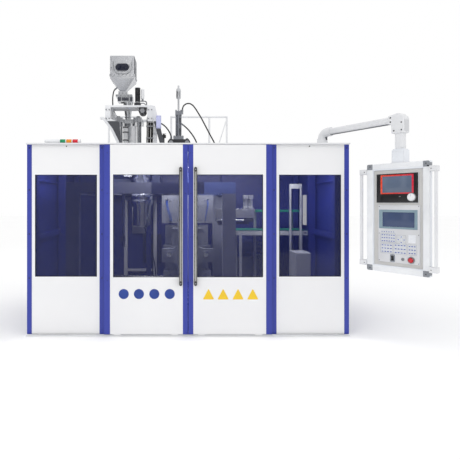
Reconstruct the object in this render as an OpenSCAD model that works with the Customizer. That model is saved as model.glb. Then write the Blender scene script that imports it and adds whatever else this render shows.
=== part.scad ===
// Extrusion blow moulding machine for large canisters: a free-standing
// enclosure with sliding doors, an extruder and die head on an inner platform,
// a shuttling clamp, a blow pin, outfeed, and a control panel on a swivel arm.
// Millimetres. Origin on the floor at the centre of the enclosure's footprint,
// +X to the right along the front, +Y to the back, +Z up.

/* [Enclosure] */
// Width of the enclosure over its side panels
cab_w = 3864; // [3824:4:3904]
// Depth from the fixed front sheets to the rear panels
cab_d = 2200; // [2180:4:2240]
// Height of the enclosure's top edge
cab_h = 2300; // [2296:1:2304]
// Height of the windows' lower edge
win_z0 = 700; // [640:5:800]
// Height of the windows' upper edge
win_z1 = 1924; // [1800:2:1960]

/* [Doors] */
// Distance from the machine's middle to a door's outer edge
door_out = 1000; // [990:1:1003]
// Gap from the machine's middle to a door's inner edge
door_gap = 3; // [2:0.5:6]
// Height of a door's lower edge
door_z0 = 22; // [18:1:30]
// Length of a door handle
handle_l = 1400; // [1000:10:1500]

/* [Clamp] */
// Half the width of a platen
plat_w = 336; // [320:2:340]
// Top edge of a platen
plat_top = 1685; // [1600:5:1690]
// Thickness of each mould half
mould_t = 200; // [180:2:200]
// Radius of a tie bar
tie_r = 30; // [24:1:32]
// Half the distance between the tie bars
tie_x = 240; // [236:1:246]

/* [Extruder and die head] */
// Radius of the screw
screw_r = 40; // [35:1:45]
// Radius of the barrel
barrel_r = 75; // [65:1:80]
// Radius of the die head's body
head_r = 130; // [110:2:140]
// Radius of a tower column
column_r = 14; // [12:1:18]

/* [Blow pin] */
// Radius of the cylinder rod
rod_r = 12; // [8:0.5:14]
// Radius of the blow pin
pin_r = 20; // [14:1:22]

/* [Control panel] */
// Width of the panel housing
pan_w = 650; // [620:2:660]
// Depth of the panel housing
pan_d = 176; // [150:2:190]
// Radius of the stop button
stop_r = 26; // [20:1:30]

/* [Hidden] */
$fn = 48;
g = 0.2;             // gap between members that are bolted together
run = 0.06;          // radial clearance of a running fit
fy = -cab_d/2;       // face of the fixed front sheets
by = cab_d/2;        // outer face of the rear panels
hx = cab_w/2;        // outer face of the side panels
roof = cab_h - 4;    // top of the roof plates
hd_x = -620;         // die head axis
hd_y = -380;         // die head and mould parting plane
ext_z = 2080;        // extruder axis height
pl_z = 1840;         // top of the upper platform
cyl_x = -120;        // blow cylinder axis
tie_z = 910;         // tie bar height
pivot = [1733, -739];          // swivel of the control arm
arm_l = 1043;                  // arm length, pivot to drop tube
arm_a = -59;                   // arm direction at rest
pan_a = -52.3;                 // panel direction at rest
hang = [pivot[0] + arm_l*cos(arm_a), pivot[1] + arm_l*sin(arm_a)];

white = [0.93, 0.94, 0.95];
blue = [0.20, 0.27, 0.68];
steel = [0.72, 0.73, 0.75];
dark = [0.16, 0.17, 0.20];
tint = [0.16, 0.17, 0.32, 0.6];

// ---------- helpers ----------

// box from two opposite corners
module bx(a, b) {
  translate([min(a[0], b[0]), min(a[1], b[1]), min(a[2], b[2])])
    cube([abs(b[0]-a[0]), abs(b[1]-a[1]), abs(b[2]-a[2])]);
}
// round bar along X, Y or Z from a start point
module barx(p, l, r) { translate(p) rotate([0, 90, 0]) cylinder(h = l, r = r); }
module bary(p, l, r) { translate(p) rotate([-90, 0, 0]) cylinder(h = l, r = r); }
module barz(p, l, r) { translate(p) cylinder(h = l, r = r); }
// square hollow section from corner to corner, open along its long axis k
module rhs(a, b, k, t = 5) {
  o = [k == 0 ? -1 : t, k == 1 ? -1 : t, k == 2 ? -1 : t];
  difference() {
    bx(a, b);
    bx(a + o, b - o);
  }
}
// front sheet of a panel with its folded edges: x0..x1 wide, sheet at y, folded
// back to yb, raised edge strips sl and sr wide, window wx0..wx1
module front_sheet(x0, x1, z0, z1, y, yb, sl, sr, wx0, wx1) {
  difference() {
    union() {
      bx([x0, y, z0], [x1, yb, z1]);
      bx([x0, y - 2, z0], [x0 + sl, y, z1]);
      bx([x1 - sr, y - 2, z0], [x1, y, z1]);
    }
    bx([x0 + 3, y + 3, z0 + 3], [x1 - 3, yb + 1, z1 - 3]);
    bx([wx0, y - 3, win_z0], [wx1, y + 4, win_z1]);
  }
}
// plain folded panel in the XZ plane, outer face at y = 0, fold d deep
module pan(w, h, d = 28, t = 3) {
  difference() {
    cube([w, d, h]);
    translate([t, t, t]) cube([w - 2*t, d, h - 2*t]);
  }
}

// ---------- base and enclosure ----------

module base_frame() {
  color(dark) bx([-hx + 32, fy + 32, 40], [hx - 32, by - 32, 160]);
}

foot_xy = [for (x = [-hx + 80, -950, 0, 950, hx - 80], y = [fy + 80, 0, by - 80]) [x, y]];
module levelling_feet() {
  color(steel) for (p = foot_xy) translate([p[0], p[1], 0]) {
    cylinder(h = 10, r = 65);
    translate([0, 0, 10]) cylinder(h = 30, r = 16);
    translate([0, 0, 22]) cylinder(h = 14, r = 28, $fn = 6);
  }
}

post_y = [[fy + 32, fy + 112], [by - 112, by - 32]];
module enclosure_frame() {
  color(blue) {
    for (x = [-hx + 30, -1084, 1004, hx - 160])
      rhs([x, post_y[0][0], 160 + g], [x + 80, post_y[0][1], roof - 86 - g], 2);
    // posts and rails half way along the side walls
    for (s = [0, 1]) mirror([s, 0, 0]) {
      rhs([hx - 140, 60, 160 + g], [hx - 30, 140, roof - 86 - g], 2);
      rhs([hx - 70, -988 + g, 1126], [hx - 30, 60 - g, 1200], 1, 3);
      bx([hx - 50, -988 + g, 1864], [hx - 30, 60 - g, 1880]);
    }
    for (x = [-hx + 30, -680, 600, hx - 110])
      rhs([x, post_y[1][0], 160 + g], [x + 80, post_y[1][1], roof - 86 - g], 2);
    for (y = post_y)
      rhs([-hx + 30, y[0], roof - 86], [hx - 30, y[1], roof - 6 - g], 0);
    for (x = [-hx + 30, -1084, 640, hx - 110])
      rhs([x, post_y[0][1] + g, roof - 86], [x + 80, post_y[1][0] - g, roof - 6 - g], 1);
  }
}

// roof plates leave a way through for the die head, feed chute and blow rod
module roof_plates() {
  y0 = fy + 34; y1 = by - 34; z0 = roof - 6; z1 = roof;
  color(white) {
    bx([-hx + 2, y0, z0], [-952, y1, z1]);
    bx([-950, y0, z0], [-792, 220, z1]);
    bx([-950, 380, z0], [-792, y1, z1]);
    bx([-790, y0, z0], [-452, -542, z1]);
    bx([-790, -218, z0], [-452, y1, z1]);
    bx([-450, y0, z0], [-172, y1, z1]);
    bx([-170, y0, z0], [-70, -432, z1]);
    bx([-170, -328, z0], [-70, y1, z1]);
    bx([-68, y0, z0], [hx - 2, y1, z1]);
  }
}

// outer face at x = 0, inside towards +x
module side_panel() {
  translate([0, by - 34, 12]) rotate([0, 0, -90]) pan(cab_d - 68, roof - 20);
}
module outer_panels() {
  color(blue) {
    translate([-hx, 0, 0]) side_panel();
    // the right one has the outlet at the end of the belts
    mirror([1, 0, 0]) translate([-hx, 0, 0]) difference() {
      side_panel();
      bx([-1, 160, 1228], [4, 820, 1714]);
    }
    for (x = [[-hx + 2, -645], [-641, 641], [645, hx - 2]])
      difference() {
        translate([x[1], by, 12]) rotate([0, 0, 180]) pan(x[1] - x[0], roof - 20);
        // two stacks of pressed louvres
        for (i = [0:7], s = [0.27, 0.73])
          translate([x[0] + s*(x[1] - x[0]), by - 2, 340 + 40*i])
            bx([-130, 0.5, 0], [130, 4, 14]);
      }
  }
}

module fixed_windows() {
  color(tint) {
    for (s = [-1, 1]) bx([s*1072, fy + 3, win_z0 - 20], [s*1856, fy + 9, win_z1 + 20]);
  }
}

module front_panels() {
  color(white) {
    front_sheet(-hx, -1004, 12, cab_h, fy, fy + 30, 58, 58, -1836, -1092);
    front_sheet(1004, hx, 12, cab_h, fy, fy + 30, 58, 58, 1092, 1836);
  }
}

// channel over the doors and the rail on the floor that they glide on
module door_tracks() {
  color(steel) {
    difference() {
      bx([-hx + 2, fy - 48, cab_h - 16], [hx - 2, fy - 2 - g, cab_h]);
      bx([-hx + 12, fy - 34, cab_h - 17], [hx - 12, fy - 18, cab_h - 6]);
    }
    bx([-hx + 2, fy - 50, 0], [hx - 2, fy - 4, 3]);
    bx([-hx + 2, fy - 32, 3], [hx - 2, fy - 20, 15]);
  }
}

// ---------- doors (drawn for the right, mirrored for the left) ----------

module door_half() {
  x0 = door_gap; x1 = door_out; y = fy - 42; z1 = cab_h - 20;
  difference() {
    union() {
      front_sheet(x0, x1, door_z0, z1, y, fy - 10, 59, 71, 78, 893);
      // lower glide shoes and upper guide blocks
      for (x = [120, 800]) {
        bx([x, y + 3, 5], [x + 80, fy - 13, 60]);
        bx([x, fy - 32, z1 - 6], [x + 80, fy - 20, cab_h - 9]);
      }
    }
    // groove over the floor rail
    for (x = [119, 799]) bx([x, fy - 32.5, 4], [x + 82, fy - 19.5, 15.5]);
  }
}
module door_pane() {
  bx([58, fy - 39, win_z0 - 20], [913, fy - 33, win_z1 + 20]);
}
module door_bar() {
  zm = 1308; h = handle_l/2; x = 88; y = fy - 44;
  difference() {
    translate([x, y - 46, zm - h + 10]) linear_extrude(2*h - 20)
      union() {
        square([18, 18], center = true);
        translate([-9, 0]) circle(9);
        translate([9, 0]) circle(9);
      }
    // grip groove along the front
    bx([x - 3, y - 56, zm - h + 60], [x + 3, y - 51, zm + h - 60]);
  }
  for (z = [zm - h, zm + h - 56]) {
    bx([x - 17, y - 40, z], [x + 17, y, z + 56]);
    translate([x, y - 42, z + 28]) rotate([90, 0, 0]) cylinder(h = 18, r = 17);
    translate([x, y - 34, z + 28]) rotate([90, 0, 0]) cylinder(h = 10, r = 17);
  }
}
module left_door() { color(white) mirror([1, 0, 0]) door_half(); }
module right_door() { color(white) door_half(); }
module left_door_window() { color(tint) mirror([1, 0, 0]) door_pane(); }
module right_door_window() { color(tint) door_pane(); }
module left_door_handle() { color([0.4, 0.4, 0.42]) mirror([1, 0, 0]) door_bar(); }
module right_door_handle() { color([0.4, 0.4, 0.42]) door_bar(); }

// ---------- roof: rails, gantry, tower ----------

// tube rail along the rear edge of the roof: posts at the given x, ball ended bar
module rail_row(xs, y, z, r) {
  for (x = xs) barz([x, y, roof], z - r - g - roof, r);
  barx([xs[0], y, z], xs[len(xs)-1] - xs[0], r);
  for (x = [xs[0], xs[len(xs)-1]]) translate([x, y, z]) sphere(r = r);
}
module guard_rails() {
  color(white) {
    rail_row([-1318, -780], 1000, 3049, 17);
    rail_row([-256, 393, 691], 1000, 3049, 17);
    // raking stay in front of the posts
    translate([466, 966, roof + 10]) rotate([0, atan2(225, 3020 - roof), 0])
      cylinder(h = 690, r = 10);
  }
}

module service_gantry() {
  color(white) {
    for (x = [[-1087, -1015], [-530, -457]]) bx([x[0], -600, 2665], [x[1], 440, 2850]);
    bx([-1087, -600, 2850], [-457, -360, 2875]);
    bx([-1087, 350, 2850], [-457, 440, 2875]);
    for (x = [-1081, -521]) bx([x, 380, roof], [x + 60, 440, 2665]);
  }
  // knee brace at the left and raking leg at the right
  color(dark) translate([0, -586, 0]) rotate([90, 0, 0]) linear_extrude(24)
    polygon([[-1070, 2700], [-1030, 2700], [-900, 2650], [-880, 2420],
             [-868, roof + 10], [-892, roof + 10], [-930, 2420], [-1040, 2600]]);
  color(white) translate([0, -583, 0]) rotate([90, 0, 0]) linear_extrude(40)
    polygon([[-1150, 2716], [-1100, 2716], [-985, 2560], [-905, 2400], [-878, roof], [-912, roof],
             [-934, 2385], [-1010, 2545], [-1120, 2688], [-1150, 2688]]);
  color(steel) translate([0, -544, 0]) rotate([90, 0, 0]) linear_extrude(50)
    polygon([[-480, 2868], [-480, 2790], [-345, roof], [-285, roof], [-430, 2868]]);
}

module head_tower() {
  color(steel) {
    for (x = [-922, -658], y = [-520, -240]) {
      barz([x, y, roof + 24], 2680 - roof - 24, column_r);
      barz([x, y, 2722], 14, column_r);
      translate([x, y, 2722]) cylinder(h = 22, r = column_r + 9, $fn = 6);
    }
  }
  color(white) difference() {
    bx([-970, -560, 2665], [-610, -200, 2722]);
    bx([-860, -561, 2660], [-720, -440, 2730]);
  }
}

module push_cylinders() {
  z0 = roof + 24;
  color(white) {
    barz([-736, hd_y, z0], 2635 - z0, 41);
    barz([-736, hd_y, 2635], 30, 16);
    barz([-846, hd_y, z0], 2635 - z0, 34);
    barz([-846, hd_y, 2635], 30, 16);
  }
  color(dark) for (z = [2345, 2437, 2545, 2612]) barz([-846, hd_y, z], 14, 39);
}

// upright servo motor with its filter bowl on the gantry's front plate
module servo_motor() {
  color(dark) {
    barz([-668, -500, 2925], 200, 34);
    bx([-710, -542, 2875], [-626, -458, 2925]);
    barz([-668, -500, 3125], 10, 38);
  }
  color(white) {
    barz([-602, -500, 2960], 22, 18);
    barz([-602, -500, 2982], 128, 23);
    bx([-628, -516, 2945], [-580, -484, 2961]);
  }
}

// polished vacuum loader: box over a square cone, hollow, open at the foot
module loader_shell(o) {
  hull() {
    bx([-1152 + o, 150 + o, 3455 + (o > 0 ? 0 : -0)], [-789 - o, 450 - o, 3456]);
    bx([-1010 + o, 262 + o, 3283 - (o > 0 ? 1 : 0)], [-934 - o, 338 - o, 3284]);
  }
  bx([-1152 + o, 150 + o, 3455], [-789 - o, 450 - o, 3794 - o]);
}
module hopper_loader() {
  color(steel) difference() {
    union() {
      loader_shell(0);
      bx([-1160, 142, 3484], [-781, 458, 3520]);
      bx([-1040, 232, 3226], [-904, 368, 3284]);
      // hinge lugs of the door
      bx([-1150, 128, 3590], [-1136, 150, 3610]);
      bx([-1150, 128, 3720], [-1136, 150, 3740]);
    }
    loader_shell(4);
    barz([-972, 300, 3220], 70, 30);
    // inspection opening behind the door
    bx([-1100, 140, 3570], [-840, 156, 3740]);
    // hinge pin bores
    barz([-1143, 134, 3585], 30, 3.05);
    barz([-1143, 134, 3715], 30, 3.05);
  }
}
module loader_door() {
  color(steel) difference() {
    union() {
      translate([0, 148, 0]) rotate([90, 0, 0]) linear_extrude(10) union() {
        translate([-1126, 3640]) square([312, 138]);
        translate([-1006, 3528]) square([72, 120]);
        translate([-1006, 3648]) circle(120, $fn = 64);
        translate([-934, 3648]) circle(120, $fn = 64);
      }
      // arm to the hinge pin, and the raised window ring
      bx([-1140, 130, 3614], [-1120, 148, 3716]);
      barz([-1143, 134, 3588], 154, 3);
      barz([-1143, 134, 3612], 106, 6);
      translate([-965, 138, 3615]) rotate([90, 0, 0]) linear_extrude(8) union() {
        square([96, 136], center = true);
        translate([-48, 0]) circle(68);
        translate([48, 0]) circle(68);
      }
    }
    translate([-965, 135, 3615]) rotate([90, 0, 0]) linear_extrude(10) union() {
      square([96, 110], center = true);
      translate([-48, 0]) circle(55);
      translate([48, 0]) circle(55);
    }
  }
}

module feed_chute() {
  color(steel) difference() {
    union() {
      bx([-1075, 200, 3194], [-825, 400, 3226]);
      bx([-1050, 220, 3123], [-820, 380, 3194]);
      translate([-900, 300, 2890]) cylinder(h = 233, r1 = 42, r2 = 74);
      barz([-900, 300, 2190], 700, 42);
      barz([-900, 300, 2190], 16, 60);
    }
    translate([-900, 300, 2889]) cylinder(h = 235, r1 = 38, r2 = 70);
    barz([-900, 300, 2180], 715, 38);
    bx([-1010, 260, 3122], [-860, 340, 3170]);
    barz([-972, 300, 3160], 70, 30);
  }
}

// ---------- extruder and die head ----------

module extruder_barrel() {
  color(steel) difference() {
    union() {
      bary([hd_x, -200, ext_z], 620, barrel_r);
      bary([hd_x, -200, ext_z], 30, 105);
      bx([-950, 210, ext_z - 95], [hd_x + 90, 400, 2190]);
      for (y = [-60, 240]) bx([hd_x - 50, y, pl_z], [hd_x + 50, y + 60, ext_z - 60]);
      // heater bands
      for (y = [-150, -70, 10, 90]) bary([hd_x, y, ext_z], 64, barrel_r + 16);
    }
    bary([hd_x, -201, ext_z], 700, screw_r + run);
    bx([-930, 268, ext_z - 10], [hd_x, 332, 2191]);
  }
}

// core with its flight; the tip is a cone
module extruder_screw() {
  color(steel) {
    bary([hd_x, -120, ext_z], 620, screw_r - 10);
    for (y = [-120:56:380]) bary([hd_x, y, ext_z], 12, screw_r);
    translate([hd_x, -120, ext_z]) rotate([90, 0, 0]) cylinder(h = 50, r1 = screw_r - 10, r2 = 6);
  }
}

// gearbox with its flanged motor at the side, one unit bolted together
module extruder_drive() {
  color(blue) {
    difference() {
      union() {
        bx([hd_x - 200, 440, 1880], [hd_x + 200, 840, 2270]);
        bx([hd_x - 220, 460, pl_z], [hd_x + 220, 820, 1880]);
        bary([hd_x, 420, ext_z], 20, 120);
      }
      bary([hd_x, 419, ext_z], 90, screw_r - 10 + run);
    }
    translate([hd_x + 790, 0, 0]) {
      barx([-1012, 640, ext_z], 22, 124);
      barx([-1400, 640, ext_z], 388, 128);
      barx([-1470, 640, ext_z], 70, 128);
      for (a = [30:30:330]) if (a != 270)
        translate([-1380, 640, ext_z]) rotate([a + 90, 0, 0]) bx([0, -3, 120], [340, 3, 142]);
      bx([-1360, 540, pl_z], [-1060, 740, ext_z - 112]);
      bx([-1390, 570, ext_z + 110], [-1274, 710, ext_z + 190]);
    }
  }
}

module die_head() {
  color(steel) {
    difference() {
      union() {
        bx([-990, hd_y - 200, roof], [hd_x + 200, hd_y + 200, roof + 24]);
        barz([hd_x, hd_y, 1900], roof - 1900, head_r + 12);
        barz([hd_x, hd_y, 1540], 360, head_r);
        // polished jacket of the die, over its adjusting ring
        barz([hd_x, hd_y, 1282], 258, head_r - 6);
        barz([hd_x, hd_y, 1270], 12, 100);
        // heater bands
        for (z = [1560, 1640, 1720, 1980, 2100]) barz([hd_x, hd_y, z], 66, head_r + 18);
        bary([hd_x, hd_y + 60, ext_z], 120 - g, 70);
      }
      barz([hd_x, hd_y, 1269], 90, 62);
    }
    barz([hd_x, hd_y, 1262], 98, 54);
  }
}

// platform inside the enclosure on four posts
module upper_platform() {
  z0 = 1700;
  color(steel) {
    for (y = [-970, 780]) rhs([-1500, y, z0], [590, y + 80, pl_z], 0, 6);
    for (x = [-1500, -1035, -450, 510]) rhs([x, -890 + g, z0], [x + 80, 780 - g, pl_z], 1, 6);
    for (x = [-100, 40]) bx([x, -890 + g, z0 + 60], [x + 60, 780 - g, pl_z]);
    // deck under the gearbox and the extruder motor
    bx([-1420 + g, 420, pl_z - 12], [-1035 - g, 778, pl_z]);
    bx([-955 + g, 420, pl_z - 12], [-450 - g, 778, pl_z]);
    bx([-955 + g, -120, pl_z - 12], [-450 - g, 340, pl_z]);
    for (x = [-1500, 430], y = [-980, 770]) rhs([x, y, 160 + g], [x + 160, y + 100, z0 - g], 2, 8);
  }
  // sensor bar that watches the parison
  color(white) {
    barz([-797, -930, 1040], z0 - 1040 - g, 20);
    bx([-835, -950, 1100], [-775, -910, 1180]);
  }
}

// ---------- clamp ----------

module slide_rails() {
  color(steel) for (y = [-300, 300]) {
    bx([-1260, y - 45, 160], [425, y + 45, 400]);
    bx([-1250, y - 10, 400], [415, y + 10, 440]);
    barx([-1250, y, 450], 1665, 25);
  }
}

module carriage() {
  color(dark) difference() {
    union() {
      bx([-360, -520, 484], [360, 620, 530]);
      for (x = [-280, 280]) bx([x - 18, -880, 530], [x + 18, 700, 556]);
      for (x = [-280, 280]) bx([x - 30, -880, 500], [x + 30, 700, 530]);
      for (x = [-320, 200], y = [-300, 300]) bx([x, y - 70, 414], [x + 120, y + 70, 484]);
    }
    for (y = [-300, 300]) {
      barx([-400, y, 450], 800, 25 + run);
      bx([-400, y - 13, 400], [400, y + 13, 445]);
    }
  }
}

// outline of a platen in the XZ plane: top plate, waist, tie bar ears, leg
module platen_outline() {
  difference() {
    union() {
      translate([-plat_w, 1320]) square([2*plat_w, plat_top - 1320]);
      translate([-130, 600]) square([260, 730]);
      translate([-plat_w, 810]) square([2*plat_w, 175]);
      translate([-220, 720]) square([440, 355]);
      translate([-plat_w, 560]) square([2*plat_w, 60]);
    }
    for (s = [-1, 1]) {
      translate([s*220, 1075]) circle(90);
      translate([s*220, 720]) circle(90);
    }
  }
}
module platen_foot(y0, y1) {
  difference() {
    bx([-plat_w, y0, 531], [plat_w, y1, 600]);
    for (x = [-280, 280]) bx([x - 18.5, y0 - 1, 530], [x + 18.5, y1 + 1, 556.5]);
    bx([-235, y0 - 1, 530], [235, y1 + 1, 566]);
  }
}
module front_platen() {
  color(steel) difference() {
    union() {
      translate([0, -600, 0]) rotate([90, 0, 0]) linear_extrude(50) platen_outline();
      bx([-210, -600, 600], [210, -580, 1240]);
      bx([-plat_w, -600, 1320], [plat_w, -580, plat_top]);
      bx([-plat_w, -600, 820], [plat_w, -580, 975]);
      platen_foot(-650, -580);
      for (s = [-1, 1]) bary([s*tie_x, -662, tie_z], 30, 52);
    }
    for (s = [-1, 1]) {
      bary([s*tie_x, -670, tie_z], 100, tie_r + 0.05);
      for (p = [[229, 1610], [137, 1610], [255, 1532], [137, 1532], [230, 1352], [180, 1352], [130, 1352]])
        bary([s*p[0], -651, p[1]], 26, 9);
    }
  }
}
module tie_bars() {
  color([0.85, 0.86, 0.88]) for (s = [-1, 1]) difference() {
    union() {
      bary([s*tie_x, -672, tie_z], 1232, tie_r);
      translate([s*tie_x, 520 + g, tie_z]) rotate([-90, 0, 0]) cylinder(h = 36, r = tie_r + 16, $fn = 6);
    }
    bary([s*tie_x, -673, tie_z], 12, 14);
  }
}
module cylinder_plate() {
  color(steel) difference() {
    union() {
      bx([-plat_w, 450, 600], [plat_w, 520, 1240]);
      platen_foot(450, 520);
      bary([0, 520, tie_z], 440, 110);
      bary([0, 520, tie_z], 40, 145);
      bary([0, 930, tie_z], 45, 122);
    }
    for (s = [-1, 1]) bary([s*tie_x, 440, tie_z], 90, tie_r + 0.05);
    bary([0, 440, tie_z], 510, 45 + run);
  }
}
module rear_platen() {
  color(steel) {
    difference() {
      union() {
        translate([0, -110, 0]) rotate([90, 0, 0]) linear_extrude(50) platen_outline();
        bx([-210, -180, 600], [210, -160, 1240]);
        bx([-plat_w, -180, 1320], [plat_w, -160, plat_top]);
        bx([-plat_w, -180, 820], [plat_w, -160, 975]);
        platen_foot(-180, -110);
      }
      for (s = [-1, 1]) bary([s*tie_x, -190, tie_z], 100, tie_r + run);
    }
    bary([0, -110, tie_z], 640, 45);
    bary([0, -110, tie_z], 30, 80);
  }
}
// half of a canister cavity, opening towards +Y at y = 0
module cavity() {
  for (a = [[150, 390], [110, 430]])
    bx([-a[0], -130, 905 - a[1]/2], [a[0], 1, 905 + a[1]/2]);
  for (x = [-110, 110], z = [730, 1080]) translate([x, -130, z]) rotate([-90, 0, 0]) cylinder(h = 131, r = 40);
  translate([0, 0, 1100]) cylinder(h = 110, r = 25);
  bx([-90, -16, 640], [90, 1, 680]);
}
module mould_half() {
  difference() {
    bx([-190, -mould_t, 640], [190, -0.15, 1200]);
    cavity();
    for (x = [-120, 120]) bary([x, -mould_t + 20, 668], 60, 8);
  }
}
module front_mould() { color([0.78, 0.80, 0.82]) translate([0, hd_y, 0]) mould_half(); }
module rear_mould() { color([0.78, 0.80, 0.82]) translate([0, hd_y, 0]) mirror([0, 1, 0]) mould_half(); }

// ---------- blow pin ----------

module blow_mount() {
  color(dark) difference() {
    union() {
      bx([-250, -450, 2400], [24, -310, 2449]);
      for (x = [-222, -4]) {
        bary([x, -450, 2404], 140, 45);
        bx([x - 45, -450, roof], [x + 45, -310, 2404]);
      }
    }
    barz([cyl_x, hd_y, 2390], 70, 30);
  }
}
module blow_cylinder() {
  color([0.55, 0.56, 0.60]) difference() {
    union() {
      bx([-190, -450, 2449], [-50, -310, 2490]);
      barz([cyl_x, hd_y, 2490], 298, 30);
      bx([-164, -424, 2788], [-76, -336, 2841]);
      for (x = [-34, 34], y = [-34, 34]) {
        barz([cyl_x + x, hd_y + y, 2490], 298, 7);
        barz([cyl_x + x, hd_y + y, 2841], 14, 9);
      }
    }
    barz([cyl_x, hd_y, 2440], 420, rod_r + run);
  }
}
// rod with its stop sleeve, offset bracket and the pin that enters the neck
module blow_pin() {
  color([0.85, 0.86, 0.88]) {
    barz([cyl_x, hd_y, 2050], 1144, rod_r);
    barz([cyl_x, hd_y, 3021], 116, 31);
    barz([cyl_x, hd_y, 3011], 140, 26);
    bx([-156, -416, 2020], [38, -344, 2090]);
    barz([0, hd_y, 1300], 720, pin_r);
    translate([0, hd_y, 1262]) cylinder(h = 38, r1 = 12, r2 = pin_r);
  }
}

// ---------- take-out ----------

module takeout_rail() {
  color(steel) {
    bx([400, -440, 1384], [905, -320, 1500]);
    for (x = [390, 895]) bx([x, -440, 1336], [x + 20, -320, 1500]);
    for (y = [-420, -340]) barx([400, y, 1350], 505, 12);
    bx([510, -430, 1500], [590, -330, 1700 - g]);
    // swing cylinders on the rail's right end
    bx([758, -436, 1500], [908, -328, 1524]);
    for (x = [798, 868]) {
      barz([x, -382, 1524], 130, 31);
      bx([x - 33, -415, 1640], [x + 33, -349, 1692]);
    }
  }
}
module takeout_gripper() {
  color(dark) difference() {
    union() {
      bx([770, -445, 1326], [890, -315, 1376]);
      bx([470, -394, 1292], [850, -366, 1326]);
      for (y = [-420, -352]) bx([420, y, 1284], [500, y + 12, 1334]);
      bx([486, -420, 1290], [500, -340, 1328]);
    }
    for (y = [-420, -340]) barx([760, y, 1350], 140, 12 + run);
  }
}

// ---------- conveyors and supply ----------

cv = [680, 1730, 225, 1150];   // roller centres in X, middle in Y, height
module conveyor_frames() {
  color(steel) {
    for (y = [-12, 452]) {
      difference() {
        bx([cv[0] - 30, y, 1112], [cv[1] + 30, y + 10, 1176]);
        bary([cv[0], y - 1, cv[3]], 12, 12 + run);
        bary([cv[1], y - 1, cv[3]], 12, 12 + run);
      }
      for (x = [760, 1640]) bx([x, y < 0 ? -42 : 452, 160 + g], [x + 40, y < 0 ? -2 : 492, 1140]);
    }
    // slider bed
    bx([760, -2, 1136], [1650, 452, 1150]);
    // cooling shelf above the belt
    bx([1030, 120, 1452], [1710, 470, 1480]);
    for (x = [1060, 1640]) bx([x, 480, 160 + g], [x + 40, 520, 1452]);
    bx([1030, 470, 1452], [1710, 520, 1480]);
    // guard frame across the belts' ends
    for (x = [1478, 1628]) bx([x, -95, 160 + g], [x + 26, -69, 1790]);
    bx([1478, -95, 1790], [1654, -69, 1860]);
  }
}
module conveyor_belt() {
  color("seagreen") translate([0, 3, 0]) rotate([90, 0, 0]) translate([0, 0, -447])
    linear_extrude(444) difference() {
      union() {
        translate([cv[0], cv[3] - 40]) square([cv[1] - cv[0], 80]);
        translate([cv[0], cv[3]]) circle(40);
        translate([cv[1], cv[3]]) circle(40);
      }
      translate([cv[0], cv[3] - 36]) square([cv[1] - cv[0], 72]);
      translate([cv[0], cv[3]]) circle(36);
      translate([cv[1], cv[3]]) circle(36);
    }
}
module roller(x) {
  bary([x, 4, cv[3]], 442, 35.6);
  bary([x, -20, cv[3]], 492, 12);
}
module drive_roller() { color(steel) roller(cv[0]); }
module idler_roller() { color(steel) roller(cv[1]); }
// oil tank with its lid and filler, motor and pump on top
module hydraulic_unit() {
  color([0.55, 0.57, 0.60]) {
    bx([640, 560, 160], [1440, 970, 700]);
    bx([620, 545, 700], [1460, 982, 716]);
    barz([1360, 780, 716], 60, 45);
  }
  color(blue) {
    barx([700, 770, 870], 380, 110);
    barx([1080, 770, 870], 60, 60);
    barx([1140, 770, 870], 130, 75);
    bx([720, 680, 716], [1060, 860, 790]);
    bx([820, 710, 960], [960, 830, 1020]);
  }
}
module control_cabinet() {
  color(white) {
    bx([1440, -560, 500], [1640, -240, 920]);
    bx([1520, -430, 160], [1560, -370, 500]);
    bx([1446, -566, 506], [1634, -560, 914]);
  }
}

// ---------- signal tower and arm base ----------

sig_y = fy + 80; sig_z = 2335;
module signal_tower() {
  color(white) {
    barx([-1725, sig_y, sig_z], 165, 24);
    translate([-1725, sig_y, sig_z]) sphere(24);
    barx([-1684, sig_y, sig_z], 100, 26);
    barx([-1560, sig_y, sig_z], 240, 11);
    barx([-1560, sig_y, sig_z], 6, 26);
    for (x = [-1489, -1413]) barx([x, sig_y, sig_z], 11, 26);
    barx([-1337, sig_y, sig_z], 28, 26);
    for (x = [-1716, -1330]) bx([x, sig_y - 16, roof], [x + 16, sig_y + 16, sig_z - 8]);
  }
}
module signal_lenses() {
  for (i = [0:2])
    color(["green", "orange", "red"][i]) difference() {
      barx([[-1553, -1477, -1401][i], sig_y, sig_z], 62.8, 26.5);
      barx([-1600, sig_y, sig_z], 300, 11.1);
    }
}
module arm_base() {
  color(white) {
    barz([pivot[0], pivot[1], roof], 20, 112);
    barz([pivot[0], pivot[1], roof + 20], 70, 40);
  }
}

// ---------- hoses ----------

// ring of points round a route point p, square to the direction d
function unit(v) = v/norm(v);
function side(d) = abs(d[2]) > 0.9 ? unit(cross(d, [0, 1, 0])) : unit(cross(d, [0, 0, 1]));
function dirs(P, u0, u1) = [for (i = [0:len(P)-1])
  i == 0 ? unit(u0) : i == len(P)-1 ? unit(u1) : unit(P[i+1] - P[i-1])];
// side vectors carried along the route, so that the tube never twists
function frames(D, i, u) = let (v = unit(u - (u*D[i])*D[i]))
  i == len(D)-1 ? [v] : concat([v], frames(D, i+1, v));
// point on a curve through the control points P, between P[i] and P[i+1]
function cr(P, i, t) = let (a = P[max(i-1, 0)], b = P[i], c = P[i+1], d = P[min(i+2, len(P)-1)])
  0.5*((2*b) + (c - a)*t + (2*a - 5*b + 4*c - d)*t*t + (3*b - a - 3*c + d)*t*t*t);
function smooth(P, n) = concat([for (i = [0:len(P)-2], k = [0:n-1]) cr(P, i, k/n)], [P[len(P)-1]]);
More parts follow.
